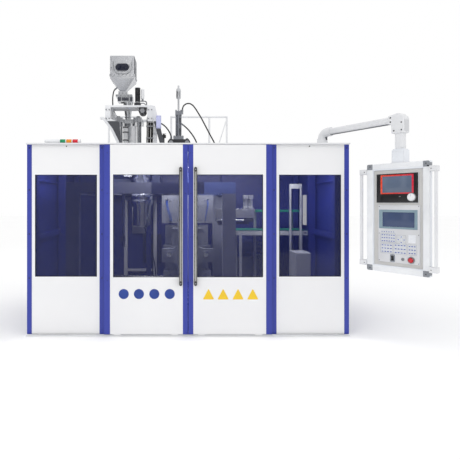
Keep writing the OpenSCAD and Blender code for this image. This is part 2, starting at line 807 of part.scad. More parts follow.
// u0 and u1: directions in which it leaves one fitting and enters the other
module hose(P, r, u0, u1, n = 8) {
  D = dirs(P, u0, u1); F = frames(D, 0, side(D[0])); m = len(P);
  pts = [for (i = [0:m-1], k = [0:n-1]) let (v = F[i], w = cross(D[i], v), a = 360*k/n)
    P[i] + r*(cos(a)*v + sin(a)*w)];
  polyhedron(points = pts, faces = concat(
    [[for (k = [0:n-1]) k]],
    [for (i = [0:m-2], k = [0:n-1]) let (a = i*n + k, b = i*n + (k+1)%n) [a, a + n, b + n, b]],
    [[for (k = [n-1:-1:0]) (m-1)*n + k]]), convexity = 8);
}
hose_r = 9;
// point on the loader's sloping left face and its outward direction
load_n = unit([-172, 0, -142]);
load_p = [-1010 - 142*0.35, 250, 3283 + 172*0.35];
down = [0, 0, -1];
short_u = [0.777, 0, -0.629];
// routes: out of the fitting, under gravity, into the other fitting
route_loader = [load_p + 24.1*load_n, [-1108, 250, 3294], [-1124, 250, 3226], [-1128, 248, 3130],
                [-1118, 246, 3020], [-1090, 244, 2938], [-1056, 242, 2896], [-1050, 242, 2872]];
route_long = [[-65.5, -380, 2842], [-64, -380, 2884], [-46, -380, 2922], [-10, -380, 2946],
              [34, -380, 2948], [76, -380, 2924], [112, -380, 2880], [150, -380, 2820],
              [186, -380, 2760], [222, -380, 2694], [268, -380, 2606], [316, -380, 2514], [358, -380, 2438],
              [388, -380, 2372], [400, -380, 2322]];
route_short = [[-66, -380, 2662], [-36, -380, 2638], [14, -380, 2590], [62, -380, 2530],
               [104, -380, 2464], [130, -380, 2404], [141, -380, 2352], [142, -380, 2322]];
route_gantry = [[-435, -380, 2690], [-394, -380, 2687], [-336, -380, 2662], [-284, -380, 2614],
                [-244, -380, 2556], [-223, -380, 2504], [-220, -380, 2474]];
module loader_hose() { color(dark) hose(smooth(route_loader, 3), hose_r, load_n, down); }
module pin_hose_long() { color(dark) hose(smooth(route_long, 2), hose_r, [0, 0, 1], down); }
module pin_hose_short() { color(dark) hose(smooth(route_short, 2), hose_r, short_u, down); }
module gantry_hose() { color(dark) hose(smooth(route_gantry, 2), hose_r, [1, 0, 0], down); }
// hose fittings: on the blow cylinder, its mount, the roof, the loader, the gantry
module hose_glands() {
  color([0.6, 0.6, 0.62]) {
    bx([-75.9, -391, 2802], [-55, -369, 2828]);
    barz([-65.5, -380, 2828], 14, 10.2);
    difference() {
      translate([-66, -380, 2662]) rotate([0, -51, 0]) cylinder(h = 34, r = 11);
      barz([cyl_x, hd_y, 2600], 150, 30.2);
    }
    for (x = [400, 142]) {
      barz([x, -380, roof], 26, 12);
      translate([x, -380, roof]) cylinder(h = 10, r = 20, $fn = 6);
    }
    barz([-220, -380, 2449], 25, 12);
    barx([-457, -380, 2690], 22, 12);
    translate(load_p + 24.1*load_n) rotate([0, atan2(172, 142), 0]) cylinder(h = 24, r = 12);
    barz([-1050, 242, 2850], 22, 12);
  }
}

// ---------- control panel ----------

// along the arm: u from the pivot, drawn in the arm's own direction
module along_arm() { translate([pivot[0], pivot[1], 0]) rotate([0, 0, arm_a]) children(); }
module at_panel() { translate([hang[0], hang[1], 0]) rotate([0, 0, pan_a]) children(); }

module arm_tubes() {
  color(white) {
    along_arm() difference() {
      union() {
        // root casting: stands on the spindle and turns into the arm
        barz([0, 0, roof + 20 + g], 64, 74);
        translate([0, 45, 0]) rotate([90, 0, 0]) linear_extrude(90)
          polygon([[-66, 2340], [66, 2340], [66, 2436], [110, 2436], [110, 2532], [-10, 2546], [-48, 2510]]);
        // arm tube
        bx([105, -34, 2445], [960, 34, 2522]);
        // elbow over the drop tube
        translate([0, 52, 0]) rotate([90, 0, 0]) linear_extrude(104)
          polygon([[930, 2440], [930, 2528], [1040, 2546], [1105, 2500], [1110, 2330], [970, 2330], [965, 2420]]);
      }
      barz([0, 0, roof], 90 + g, 40 + run);
    }
    at_panel() {
      bx([-42, -42, 2166], [42, 42, 2360]);
      barz([0, 0, 2060], 106, 35);
    }
  }
}

pz0 = 839; pz1 = 2010;
module panel_housing() {
  w = pan_w/2; d = pan_d/2;
  color(white) at_panel() difference() {
    union() {
      bx([-w, -d, pz0], [w, -d + 60, pz1]);
      // narrower box behind for the terminals and cables
      bx([-160, -d + 59, 960], [160, d, pz1]);
      difference() {
        bx([-66, -58, pz1], [66, 58, 2150]);
        barz([0, 0, pz1 + 30], 200, 36);
      }
      difference() {
        bx([-56, -54, 2100], [56, 54, 2162]);
        barz([0, 0, 2000], 200, 35 + run);
      }
      // display bezel and keyboard unit stand in the recess
      bx([-217, -d + 2, 1586], [216, -d + 14, 1898]);
      bx([-198, -d + 6, 949], [229, -d + 14, 1560]);
    }
    // recessed face round both units
    difference() {
      bx([-250, -d - 1, pz0 + 70], [262, -d + 14, pz1 - 70]);
      bx([-217, -d + 2, 1586], [216, -d + 14, 1898]);
      bx([-198, -d + 6, 949], [229, -d + 14, 1560]);
    }
    // screens
    bx([-174, -d + 1, 1680], [173, -d + 6, 1887]);
    bx([-153, -d + 4, 1329], [178, -d + 9, 1485]);
    // inside of the housing, open to the drop tube
    bx([-155, -d + 60, 965], [155, d - 5, pz1 - 5]);
    barz([0, 0, pz1 - 10], 60, 30);
    // button wells
    bary([148, -d, 992], 59, 8 + run);
    bary([151, -d, 1645], 40, 8 + run);
    bx([-57, -d, 966], [-31, -d + 24, 1024]);
    barx([-64, -d + 14, 995], 42, 3 + run);
  }
}
module panel_handles() {
  w = pan_w/2; d = pan_d/2;
  color(white) at_panel() for (s = [-1, 1]) {
    bx([s*w, -d - 22, 1900], [s*(w + 78), -d + 38, 1957]);
    bx([s*w, -d - 22, 890], [s*(w + 78), -d + 38, 947]);
    bx([s*(w + 47), -d - 18, 947], [s*(w + 74), -d + 9, 1900]);
  }
}
module stop_button() {
  d = pan_d/2;
  color("red") at_panel() {
    bary([148, -d - 10, 992], 50, 8);
    translate([148, -d - 6, 992]) rotate([90, 0, 0]) cylinder(h = 8, r = stop_r - 5);
    translate([148, -d - 14, 992]) rotate([90, 0, 0]) cylinder(h = 12, r1 = stop_r, r2 = stop_r - 6);
  }
}
module selector_knob() {
  d = pan_d/2;
  color(white) at_panel() {
    bary([151, -d - 2, 1645], 32, 8);
    translate([151, -d, 1645]) rotate([90, 0, 0]) cylinder(h = 14, r = 38);
    translate([151, -d - 14, 1645]) rotate([90, 0, 0]) cylinder(h = 6, r1 = 38, r2 = 32);
  }
}
// rocks about a pin across its middle, round front and back
module rocker_switch() {
  d = pan_d/2;
  color(dark) at_panel() translate([0, -d + 14, 995]) rotate([0, 90, 0]) {
    translate([0, 0, -63]) cylinder(h = 38, r = 3);
    translate([0, 0, -56.5]) linear_extrude(25) polygon([[-26, -16], [0, -13], [26, -16],
      [25, -2], [4, 8], [-4, 8], [-25, -2]]);
  }
}

base_frame();
levelling_feet();
enclosure_frame();
roof_plates();
outer_panels();
fixed_windows();
front_panels();
door_tracks();
guard_rails();
service_gantry();
head_tower();
push_cylinders();
servo_motor();
hopper_loader();
feed_chute();
extruder_barrel();
extruder_drive();
die_head();
upper_platform();
slide_rails();
blow_cylinder();
blow_mount();
takeout_rail();
conveyor_frames();
conveyor_belt();
hydraulic_unit();
control_cabinet();
signal_tower();
signal_lenses();
hose_glands();
loader_hose();
pin_hose_long();
pin_hose_short();
gantry_hose();
arm_base();
left_door();
left_door_window();
left_door_handle();
right_door();
right_door_window();
right_door_handle();
loader_door();
extruder_screw();
carriage();
front_platen();
tie_bars();
cylinder_plate();
front_mould();
rear_platen();
rear_mould();
blow_pin();
takeout_gripper();
drive_roller();
idler_roller();
arm_tubes();
panel_housing();
panel_handles();
stop_button();
selector_knob();
rocker_switch();
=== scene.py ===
import bpy, bmesh, math, random
from mathutils import Vector, Matrix


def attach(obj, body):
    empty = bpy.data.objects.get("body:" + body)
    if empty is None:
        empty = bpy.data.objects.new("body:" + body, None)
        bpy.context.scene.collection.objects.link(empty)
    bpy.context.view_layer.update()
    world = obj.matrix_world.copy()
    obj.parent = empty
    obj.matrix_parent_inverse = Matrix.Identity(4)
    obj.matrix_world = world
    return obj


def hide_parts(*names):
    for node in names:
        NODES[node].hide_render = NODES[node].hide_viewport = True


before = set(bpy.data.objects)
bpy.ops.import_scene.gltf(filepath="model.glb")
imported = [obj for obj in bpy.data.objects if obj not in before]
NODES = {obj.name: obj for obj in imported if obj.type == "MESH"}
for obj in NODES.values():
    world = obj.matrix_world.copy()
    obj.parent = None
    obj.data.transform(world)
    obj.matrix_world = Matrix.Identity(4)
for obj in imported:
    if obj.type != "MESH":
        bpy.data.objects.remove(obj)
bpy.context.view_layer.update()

SC = bpy.context.scene
COL = SC.collection
RAD = math.radians
random.seed(7)

# ------------------------------------------------------------------ camera

cam_data = bpy.data.cameras.new("camera")
cam = bpy.data.objects.new("camera", cam_data)
COL.objects.link(cam)
cam.location = (-0.072, -6.1, 1.584)
cam.rotation_euler = (RAD(90), 0, 0)
cam_data.sensor_width = 36
cam_data.lens = 32.61
cam_data.shift_x = 0.1043
cam_data.shift_y = -0.0587
cam_data.clip_end = 200
SC.camera = cam
SC.view_settings.view_transform = "Standard"
SC.view_settings.look = "None"

# ------------------------------------------------------------------ node materials


def tree(name):
    m = bpy.data.materials.new(name)
    m.use_nodes = True
    t = m.node_tree
    t.nodes.clear()
    out = t.nodes.new("ShaderNodeOutputMaterial")
    b = t.nodes.new("ShaderNodeBsdfPrincipled")
    t.links.new(b.outputs["BSDF"], out.inputs["Surface"])
    return m, t, b


def nd(t, kind, ins=None, **props):
    n = t.nodes.new(kind)
    for k, v in props.items():
        setattr(n, k, v)
    for k, v in (ins or {}).items():
        if isinstance(v, bpy.types.NodeSocket):
            t.links.new(v, n.inputs[k])
        else:
            n.inputs[k].default_value = v
    return n


def coords(t, stretch=(1, 1, 1)):
    tc = nd(t, "ShaderNodeTexCoord")
    mp = nd(t, "ShaderNodeMapping", {"Vector": tc.outputs["Object"]})
    mp.inputs["Scale"].default_value = stretch
    return mp.outputs["Vector"]


def noise(t, vec, scale, detail=3.0, rough=0.5):
    n = nd(t, "ShaderNodeTexNoise", {"Vector": vec, "Scale": scale, "Detail": detail, "Roughness": rough})
    return n.outputs["Fac"]


def remap(t, fac, a, b, lo=0.3, hi=0.7):
    n = nd(t, "ShaderNodeMapRange", {"Value": fac, "From Min": lo, "From Max": hi, "To Min": a, "To Max": b})
    return n.outputs["Result"]


def mixc(t, fac, a, b, mode="MIX"):
    n = nd(t, "ShaderNodeMix", data_type="RGBA", blend_type=mode)
    for k, v in ((0, fac), (6, a), (7, b)):
        if isinstance(v, bpy.types.NodeSocket):
            t.links.new(v, n.inputs[k])
        else:
            n.inputs[k].default_value = v if k == 0 else (*v[:3], 1)
    return n.outputs[2]


def math1(t, op, a, b=0.0):
    n = nd(t, "ShaderNodeMath", operation=op)
    for k, v in ((0, a), (1, b)):
        if isinstance(v, bpy.types.NodeSocket):
            t.links.new(v, n.inputs[k])
        else:
            n.inputs[k].default_value = v
    return n.outputs[0]


def lin(r, g, b):
    """sRGB 0..255 to linear"""
    return tuple((c / 255 / 12.92) if c / 255 <= 0.04045 else ((c / 255 + 0.055) / 1.055) ** 2.4 for c in (r, g, b))


def dim(c, k):
    return tuple(min(1, x * k) for x in c[:3])


def surface(name, color, color2=None, metal=0.0, rough=0.4, vary=0.08, big=1.2, stretch=(1, 1, 1),
            grain=0.0, gscale=300.0, gstretch=(1, 1, 1), gdist=0.0004, coat=0.0, spec=0.5, wave=0.0, wscale=9.0,
            zones=None, cr=0.15, bdetail=2.0):
    """Painted, cast, machined or moulded surface: colour drifts at a large scale, roughness
    at a middle one, and a fine relief at the scale of the real grain.
    zones(t, position) -> (mask, colour) lays a second colour on part of it."""
    m, t, b = tree(name)
    v = coords(t, stretch)
    c2 = color2 or dim(color, 0.90)
    col = mixc(t, remap(t, noise(t, v, big, 4.0, 0.55), 0, 1), color, c2)
    if zones:
        pos = nd(t, "ShaderNodeTexCoord").outputs["Object"]
        for z in zones:
            mask, zc = z(t, pos)
            zc2 = mixc(t, remap(t, noise(t, v, big * 1.7, 3.0), 0, 1), zc, dim(zc, 0.9))
            col = mixc(t, mask, col, zc2)
    t.links.new(col, b.inputs["Base Color"])
    b.inputs["Metallic"].default_value = metal
    t.links.new(remap(t, noise(t, v, big * 9, 5.0, 0.6), max(0.02, rough - vary), rough + vary), b.inputs["Roughness"])
    b.inputs["Specular IOR Level"].default_value = spec
    b.inputs["Coat Weight"].default_value = coat
    b.inputs["Coat Roughness"].default_value = cr
    nrm = None
    if wave:
        w = noise(t, coords(t, (1, 1, 1)), wscale, 2.0)
        bw = nd(t, "ShaderNodeBump", {"Height": w, "Strength": wave, "Distance": 0.002})
        nrm = bw.outputs["Normal"]
    if grain:
        g = noise(t, coords(t, gstretch), gscale, bdetail, 0.6)
        ins = {"Height": g, "Strength": grain, "Distance": gdist}
        if nrm is not None:
            ins["Normal"] = nrm
        bg = nd(t, "ShaderNodeBump", ins)
        nrm = bg.outputs["Normal"]
    if nrm is not None:
        t.links.new(nrm, b.inputs["Normal"])
    return m


def sep(t, pos):
    s = nd(t, "ShaderNodeSeparateXYZ", {"Vector": pos})
    return s.outputs[0], s.outputs[1], s.outputs[2]


def between(t, x, a, b):
    return math1(t, "MULTIPLY", math1(t, "GREATER_THAN", x, a), math1(t, "LESS_THAN", x, b))


WHITE = lin(231, 231, 232)
BLUE = lin(48, 61, 158)
DEEP = lin(38, 47, 124)
NAVY = lin(30, 33, 72)
GREY = lin(150, 152, 156)
MID = lin(96, 98, 104)
DARK = lin(42, 43, 48)
BLACK = lin(20, 20, 23)


def blue_strips(t, pos):
    x, y, z = sep(t, pos)
    ax = math1(t, "ABSOLUTE", x)
    m = between(t, ax, 0.0, 0.0621)
    for a, b in ((0.9289, 1.0621), (1.8739, 2.0)):
        m = math1(t, "MAXIMUM", m, between(t, ax, a, b))
    return m, BLUE


FRONT = surface("front_powder_coat", WHITE, lin(225, 225, 227), rough=0.42, vary=0.06, big=0.7, grain=0.12,
                gscale=420, gdist=0.00025, wave=0.05, wscale=3.0, zones=[blue_strips])
WHITEP = surface("white_powder_coat", lin(222, 223, 225), lin(212, 213, 216), rough=0.40, vary=0.08, big=1.6,
                 grain=0.14, gscale=420, gdist=0.00025)
BLUEP = surface("blue_powder_coat", DEEP, lin(32, 40, 108), rough=0.42, vary=0.08, big=1.4, grain=0.14,
                gscale=400, gdist=0.00025, wave=0.06, wscale=2.5)
STRIP = surface("blue_strip_coat", BLUE, lin(52, 64, 156), rough=0.30, vary=0.06, big=1.1, stretch=(6, 6, 0.6),
                grain=0.10, gscale=420, gdist=0.0002, wave=0.10, wscale=2.0, coat=0.3)
CASTG = surface("grey_painted_casting", lin(150, 153, 164), lin(124, 127, 140), rough=0.55, vary=0.10, big=3.0,
                grain=0.35, gscale=130, gdist=0.0008)
CASTD = surface("dark_painted_casting", lin(74, 76, 86), lin(54, 56, 66), rough=0.50, vary=0.10, big=3.0,
                grain=0.30, gscale=140, gdist=0.0007)
DARKP = surface("dark_satin_paint", DARK, lin(30, 31, 36), rough=0.42, vary=0.09, big=2.2, grain=0.16, gscale=320,
                gdist=0.0003)
STEEL = surface("machined_steel", lin(170, 172, 176), lin(134, 136, 142), metal=1.0, rough=0.30, vary=0.09, big=4.0,
                grain=0.22, gscale=60, gstretch=(1, 1, 14), gdist=0.0002)
STEELX = surface("ground_steel_lengthwise", lin(182, 184, 188), lin(150, 152, 158), metal=1.0, rough=0.26, vary=0.08,
                 big=4.0, grain=0.2, gscale=60, gstretch=(1, 14, 14), gdist=0.0002)
POLISH = surface("polished_sheet", lin(196, 198, 201), lin(172, 174, 178), metal=1.0, rough=0.16, vary=0.07, big=3.5,
                 wave=0.35, wscale=5.5, grain=0.10, gscale=90, gstretch=(10, 10, 1), gdist=0.0002)
# loader sheet: a lighter, less metallic copy of the polished sheet, brightened as painted sheen
LOADER_PAINTED_SHEEN = surface("loader_sheet_painted_sheen", lin(212, 213, 216), lin(184, 186, 191), metal=0.6, rough=0.22, vary=0.09, big=3.5,
                wave=0.35, wscale=5.5, grain=0.10, gscale=90, gstretch=(10, 10, 1), gdist=0.0002)
CHROME = surface("hard_chrome", lin(214, 216, 219), lin(196, 198, 202), metal=1.0, rough=0.10, vary=0.05, big=5.0,
                 grain=0.06, gscale=120, gdist=0.0001)
ALU = surface("anodised_aluminium", lin(196, 198, 201), lin(176, 178, 182), metal=0.9, rough=0.34, vary=0.08,
              big=3.5, grain=0.2, gscale=70, gstretch=(1, 12, 12), gdist=0.0002)
HANDLE = surface("handle_anodised", lin(122, 121, 116), lin(98, 97, 93), metal=0.7, rough=0.30, vary=0.08, big=5.0,
                 grain=0.2, gscale=80, gstretch=(14, 14, 1), gdist=0.0002)
# light strip down the handle bars' front: painted highlight
HANDLE_PAINTED_HIGHLIGHT = surface("handle_painted_highlight", lin(176, 176, 174), lin(150, 150, 148), metal=0.6, rough=0.34, vary=0.07,
                       big=5.0, grain=0.18, gscale=90, gstretch=(14, 14, 1), gdist=0.0002)
HANDLE_END = surface("handle_bracket", lin(66, 64, 62), lin(46, 45, 44), metal=0.3, rough=0.42, vary=0.10, big=14.0,
                     grain=0.35, gscale=260, gdist=0.0005)
RUBBER = surface("hose_rubber", lin(18, 18, 20), lin(28, 28, 30), rough=0.55, vary=0.10, big=14.0, grain=0.25,
                 gscale=420, gdist=0.0004, spec=0.4)
BELT = surface("belt_cover", lin(44, 150, 116), lin(34, 124, 96), rough=0.55, vary=0.08, big=4.0, grain=0.3,
               gscale=380, gdist=0.0004)
LIGHTP = surface("pale_plastic", lin(232, 234, 236), lin(220, 222, 225), rough=0.36, vary=0.07, big=5.0, grain=0.16,
                 gscale=600, gdist=0.0002, coat=0.1)
PANELP = surface("panel_aluminium_white", lin(226, 229, 234), lin(214, 218, 224), rough=0.36, vary=0.06, big=2.4,
                 grain=0.12, gscale=420, gdist=0.0002)
CAPG = surface("corner_cap_grey", lin(140, 144, 150), lin(122, 126, 132), rough=0.46, vary=0.07, big=9.0, grain=0.3,
               gscale=420, gdist=0.0004)
BLACKP = surface("black_plastic", BLACK, lin(30, 30, 33), rough=0.36, vary=0.09, big=9.0, grain=0.2, gscale=500,
                 gdist=0.0003)
REDP = surface("red_plastic", lin(206, 28, 44), lin(176, 18, 34), rough=0.26, vary=0.06, big=20.0, grain=0.1,
               gscale=500, gdist=0.0002, coat=0.4)
BRASS = surface("brass_fitting", lin(190, 156, 92), lin(160, 128, 74), metal=1.0, rough=0.28, vary=0.08, big=12.0,
                grain=0.2, gscale=200, gdist=0.0002)
VIOLET = surface("pale_violet_box", lin(196, 200, 232), lin(176, 180, 220), rough=0.4, vary=0.06, big=4.0,
                 grain=0.12, gscale=420, gdist=0.0002)


def glass(name, color, alpha, rough=0.07):
    m, t, b = tree(name)
    v = coords(t)
    col = mixc(t, remap(t, noise(t, v, 1.3, 4.0, 0.6), 0, 1), color, dim(color, 0.82))
    t.links.new(col, b.inputs["Base Color"])
    t.links.new(remap(t, noise(t, coords(t, (1, 1, 0.3)), 7.0, 4.0), rough * 0.6, rough * 1.6), b.inputs["Roughness"])
    b.inputs["Specular IOR Level"].default_value = 0.35
    b.inputs["Alpha"].default_value = alpha
    bw = nd(t, "ShaderNodeBump", {"Height": noise(t, coords(t), 4.0, 2.0), "Strength": 0.012, "Distance": 0.001})
    t.links.new(bw.outputs["Normal"], b.inputs["Normal"])
    return m


GLASS = glass("tinted_sheet", lin(36, 41, 84), 0.42)
SIGHT = glass("sight_glass", lin(70, 74, 92), 0.85, 0.05)

# ------------------------------------------------------------------ mesh building


class Build:
    """Collects solids in millimetres and gives one object in metres."""

    def __init__(self, M=None):
        self.bm = bmesh.new()
        self.M = M or Matrix.Identity(4)

    def _take(self, t, local=None):
        me = bpy.data.meshes.new("tmp")
        if local is not None:
            bmesh.ops.transform(t, matrix=local, verts=t.verts)
        t.to_mesh(me)
        t.free()
        self.bm.from_mesh(me)
        bpy.data.meshes.remove(me)

    def _bevel(self, t, w, seg, angle=30):
        if w > 0:
            edges = [e for e in t.edges if len(e.link_faces) == 2 and e.calc_face_angle(0) > RAD(angle)]
            bmesh.ops.bevel(t, geom=edges, offset=w, segments=seg, profile=0.5, affect="EDGES", clamp_overlap=True)

    def box(self, lo, hi, bevel=0.0, seg=2, local=None):
        t = bmesh.new()
        bmesh.ops.create_cube(t, size=1.0)
        lo, hi = [min(a, b) for a, b in zip(lo, hi)], [max(a, b) for a, b in zip(lo, hi)]
        for v in t.verts:
            v.co = Vector([(lo[i] + hi[i]) / 2 + v.co[i] * (hi[i] - lo[i]) for i in range(3)])
        self._bevel(t, min(bevel, 0.45 * min(h - l for l, h in zip(lo, hi))), seg)
        self._take(t, local)
        return self

    def lathe(self, origin, axis, profile, seg=32, local=None, phase=0.0):
        """profile: (radius, height along axis) from one end to the other"""
        t = bmesh.new()
        ax = Vector(axis).normalized()
        u = ax.orthogonal().normalized()
        if abs(ax.z) > 0.9:
            u = Vector((1, 0, 0))
        w = ax.cross(u)
        o = Vector(origin)
        rings = []
        for r, h in profile:
            if r <= 1e-6:
                rings.append([t.verts.new(o + ax * h)])
            else:
                rings.append([t.verts.new(o + ax * h + r * (math.cos(a) * u + math.sin(a) * w))
                              for a in (2 * math.pi * (k + phase) / seg for k in range(seg))])
        for a, b in zip(rings, rings[1:]):
            for k in range(seg):
                k2 = (k + 1) % seg
                if len(a) == 1 and len(b) == 1:
                    continue
                if len(a) == 1:
                    t.faces.new((a[0], b[k2], b[k]))
                elif len(b) == 1:
                    t.faces.new((a[k], a[k2], b[0]))
                else:
                    t.faces.new((a[k], a[k2], b[k2], b[k]))
        for r in (rings[0], rings[-1]):
            if len(r) > 1:
                t.faces.new(r if r is rings[-1] else r[::-1])
        bmesh.ops.recalc_face_normals(t, faces=t.faces)
        self._take(t, local)
        return self

    def cyl(self, a, b, r, bevel=1.0, seg=32, r2=None, local=None):
        a, b = Vector(a), Vector(b)
        L = (b - a).length
        r2 = r if r2 is None else r2
        c = min(bevel, 0.45 * L, 0.45 * min(r, r2))
        prof = [(0, 0), (r - c, 0), (r, c), (r2, L - c), (r2 - c, L), (0, L)] if c > 0 else \
            [(0, 0), (r, 0), (r2, L), (0, L)]
        return self.lathe(a, b - a, prof, seg, local)

    def prism(self, pts, axis, lo, hi, bevel=0.0, seg=2, local=None, angle=30):
        """outline in the plane across axis ('x': (y, z), 'y': (x, z), 'z': (x, y))"""
        t = bmesh.new()
        put = {"x": lambda p, d: (d, p[0], p[1]), "y": lambda p, d: (p[0], d, p[1]), "z": lambda p, d: (p[0], p[1], d)}[axis]
        a = [t.verts.new(put(p, lo)) for p in pts]
        b = [t.verts.new(put(p, hi)) for p in pts]
        t.faces.new(a)
        t.faces.new(b[::-1])
        n = len(pts)
        for i in range(n):
            t.faces.new((a[i], a[(i + 1) % n], b[(i + 1) % n], b[i]))
        bmesh.ops.recalc_face_normals(t, faces=t.faces)
        self._bevel(t, bevel, seg, angle)
        self._take(t, local)
        return self

    def frame_xz(self, x0, x1, z0, z1, w, y0, y1, bevel=0.5, r=0.0, seg=6):
        """flat ring of width w round a window, between y0 and y1"""
        def loop(d):
            rr = max(0.0, r + d)
            if rr <= 0:
                return [(x0 - d, z0 - d), (x1 + d, z0 - d), (x1 + d, z1 + d), (x0 - d, z1 + d)]
            out = []
            for cx, cz, s in ((x1 + d - rr, z0 - d + rr, -90), (x1 + d - rr, z1 + d - rr, 0),
                              (x0 - d + rr, z1 + d - rr, 90), (x0 - d + rr, z0 - d + rr, 180)):
                for k in range(seg + 1):
                    a = RAD(s + 90 * k / seg)
                    out.append((cx + rr * math.cos(a), cz + rr * math.sin(a)))
            return out
        inner, outer = loop(0.0), loop(w)
        if len(inner) != len(outer):
            inner = [(x1, z0)] * (seg + 1) + [(x1, z1)] * (seg + 1) + [(x0, z1)] * (seg + 1) + [(x0, z0)] * (seg + 1)
            e = 0.01
            inner = [(px + e * math.cos(i), pz + e * math.sin(i)) for i, (px, pz) in enumerate(inner)]
        t = bmesh.new()
        V = {}
        for nm, lp in (("i", inner), ("o", outer)):
            for yy, s in ((y0, 0), (y1, 1)):
                V[nm, s] = [t.verts.new((p[0], yy, p[1])) for p in lp]
        n = len(inner)
        for i in range(n):
            j = (i + 1) % n
            for s in (0, 1):
                t.faces.new((V["i", s][i], V["i", s][j], V["o", s][j], V["o", s][i]))
            for nm in "io":
                t.faces.new((V[nm, 0][i], V[nm, 0][j], V[nm, 1][j], V[nm, 1][i]))
        bmesh.ops.recalc_face_normals(t, faces=t.faces)
        self._bevel(t, bevel, 2, 50)
        self._take(t)
        return self

    def tube(self, pts, r, seg=12, local=None, squash=1.0):
        t = bmesh.new()
        P = [Vector(p) for p in pts]
        D = [(P[min(i + 1, len(P) - 1)] - P[max(i - 1, 0)]).normalized() for i in range(len(P))]
        u = D[0].orthogonal().normalized()
        rings = []
        for p, d in zip(P, D):
            u = (u - u.dot(d) * d).normalized()
            w = d.cross(u)
            rings.append([t.verts.new(p + r * (math.cos(a) * u + squash * math.sin(a) * w))
                          for a in (2 * math.pi * k / seg for k in range(seg))])
        for a, b in zip(rings, rings[1:]):
            for k in range(seg):
                t.faces.new((a[k], a[(k + 1) % seg], b[(k + 1) % seg], b[k]))
        t.faces.new(rings[0][::-1])
        t.faces.new(rings[-1])
        bmesh.ops.recalc_face_normals(t, faces=t.faces)
        self._take(t, local)
        return self

    def hexnut(self, a, b, r, bevel=1.0, local=None):
        a, b = Vector(a), Vector(b)
        L = (b - a).length
        return self.lathe(a, b - a, [(0, 0), (r, 0), (r, L - bevel), (r - bevel * 1.6, L), (0, L)], 6, local)

    def screw(self, p, n, r=8.0, h=5.0, local=None):
        """button head with a socket"""
        self.lathe(p, n, [(0, 0), (r, 0), (r, h * 0.45), (r * 0.8, h * 0.9), (r * 0.45, h), (r * 0.42, h),
                          (r * 0.42, h * 0.45), (0, h * 0.45)], 16, local)
        return self

    def done(self, name, mat, body="machine", slot=None, angle=32, replaces=()):
        me = bpy.data.meshes.new(name)
        bmesh.ops.transform(self.bm, matrix=self.M @ Matrix.Diagonal((0.001, 0.001, 0.001, 1)), verts=self.bm.verts)
        self.bm.to_mesh(me)
        self.bm.free()
        for p in me.polygons:
            p.use_smooth = True
        me.set_sharp_from_angle(angle=RAD(angle))
        me.materials.append(mat)
        o = bpy.data.objects.new(name, me)
        COL.objects.link(o)
        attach(o, body)
        if replaces:
            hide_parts(*replaces)
        return o


def catmull(P, n):
    P = [Vector(p) for p in P]
    out = []
    for i in range(len(P) - 1):
        a, b, c, d = P[max(i - 1, 0)], P[i], P[i + 1], P[min(i + 2, len(P) - 1)]
        for k in range(n):
            s = k / n
            out.append(0.5 * ((2 * b) + (c - a) * s + (2 * a - 5 * b + 4 * c - d) * s * s + (3 * b - a - 3 * c + d) * s ** 3))
    out.append(P[-1])
    return out


# ------------------------------------------------------------------ hoses

load_n = Vector((-172, 0, -142)).normalized()
load_p = Vector((-1010 - 142 * 0.35, 250, 3283 + 172 * 0.35))
ROUTES = {
    "loader_hose": [load_p + 24.1 * load_n, (-1108, 250, 3294), (-1124, 250, 3226), (-1128, 248, 3130),
                    (-1118, 246, 3020), (-1090, 244, 2938), (-1056, 242, 2896), (-1050, 242, 2872)],
    "pin_hose_long": [(-65.5, -380, 2842), (-64, -380, 2884), (-46, -380, 2922), (-10, -380, 2946),
                      (34, -380, 2948), (76, -380, 2924), (112, -380, 2880), (150, -380, 2820),
                      (186, -380, 2760), (222, -380, 2694), (268, -380, 2606), (316, -380, 2514), (358, -380, 2438),
                      (388, -380, 2372), (400, -380, 2322)],
    "pin_hose_short": [(-66, -380, 2662), (-36, -380, 2638), (14, -380, 2590), (62, -380, 2530),
                       (104, -380, 2464), (130, -380, 2404), (141, -380, 2352), (142, -380, 2322)],
    "gantry_hose": [(-435, -380, 2690), (-394, -380, 2687), (-336, -380, 2662), (-284, -380, 2614),
                    (-244, -380, 2556), (-223, -380, 2504), (-220, -380, 2474)],
}


def make_hose(name, route):
    pts = [p * 0.001 for p in catmull(route, 3 if len(route) > 9 else 4)]
    cu = bpy.data.curves.new(name + "_line", "CURVE")
    cu.dimensions = "3D"
    sp = cu.splines.new("POLY")
    sp.points.add(len(pts) - 1)
    for q, p in zip(sp.points, pts):
        q.co = (*p, 1)
    cu.bevel_depth = 0.009
    cu.bevel_resolution = 4
    cu.use_fill_caps = True
    cu.materials.append(RUBBER)
    o = bpy.data.objects.new(name + "_rubber", cu)
    COL.objects.link(o)
    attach(o, "machine")
    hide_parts(name)
    # crimped collars at both ends
    B = Build()
    P = [p * 1000 for p in pts]
    for a, b in ((P[0], P[1]), (P[-1], P[-2])):
        d = (b - a).normalized()
        B.lathe(a, d, [(9.2, 0.2), (11.6, 0.2), (12.0, 2), (12.0, 8), (11.2, 9), (12.0, 10), (12.0, 18), (11.2, 19),
                       (12.0, 20), (11.8, 26), (9.6, 28), (9.2, 28)], 24)
    col = B.done(name + "_collars", STEEL, slot="machined_steel")
    L = sum((q - p).length for p, q in zip(pts, pts[1:]))
    return L


HOSE_LENGTHS = {n: make_hose(n, r) for n, r in ROUTES.items()}

# ------------------------------------------------------------------ stage and light

floor_bm = bmesh.new()
bmesh.ops.create_grid(floor_bm, x_segments=2, y_segments=2, size=45)
fm = bpy.data.meshes.new("floor")
floor_bm.to_mesh(fm)
floor_bm.free()
floor = bpy.data.objects.new("floor", fm)
floor.location = (0, 0, -0.002)
COL.objects.link(floor)
fm.materials.append(surface("pale_floor", (0.99, 0.99, 0.99), (0.975, 0.975, 0.975), rough=0.9, vary=0.05, big=0.3,
                            grain=0.05, gscale=60))

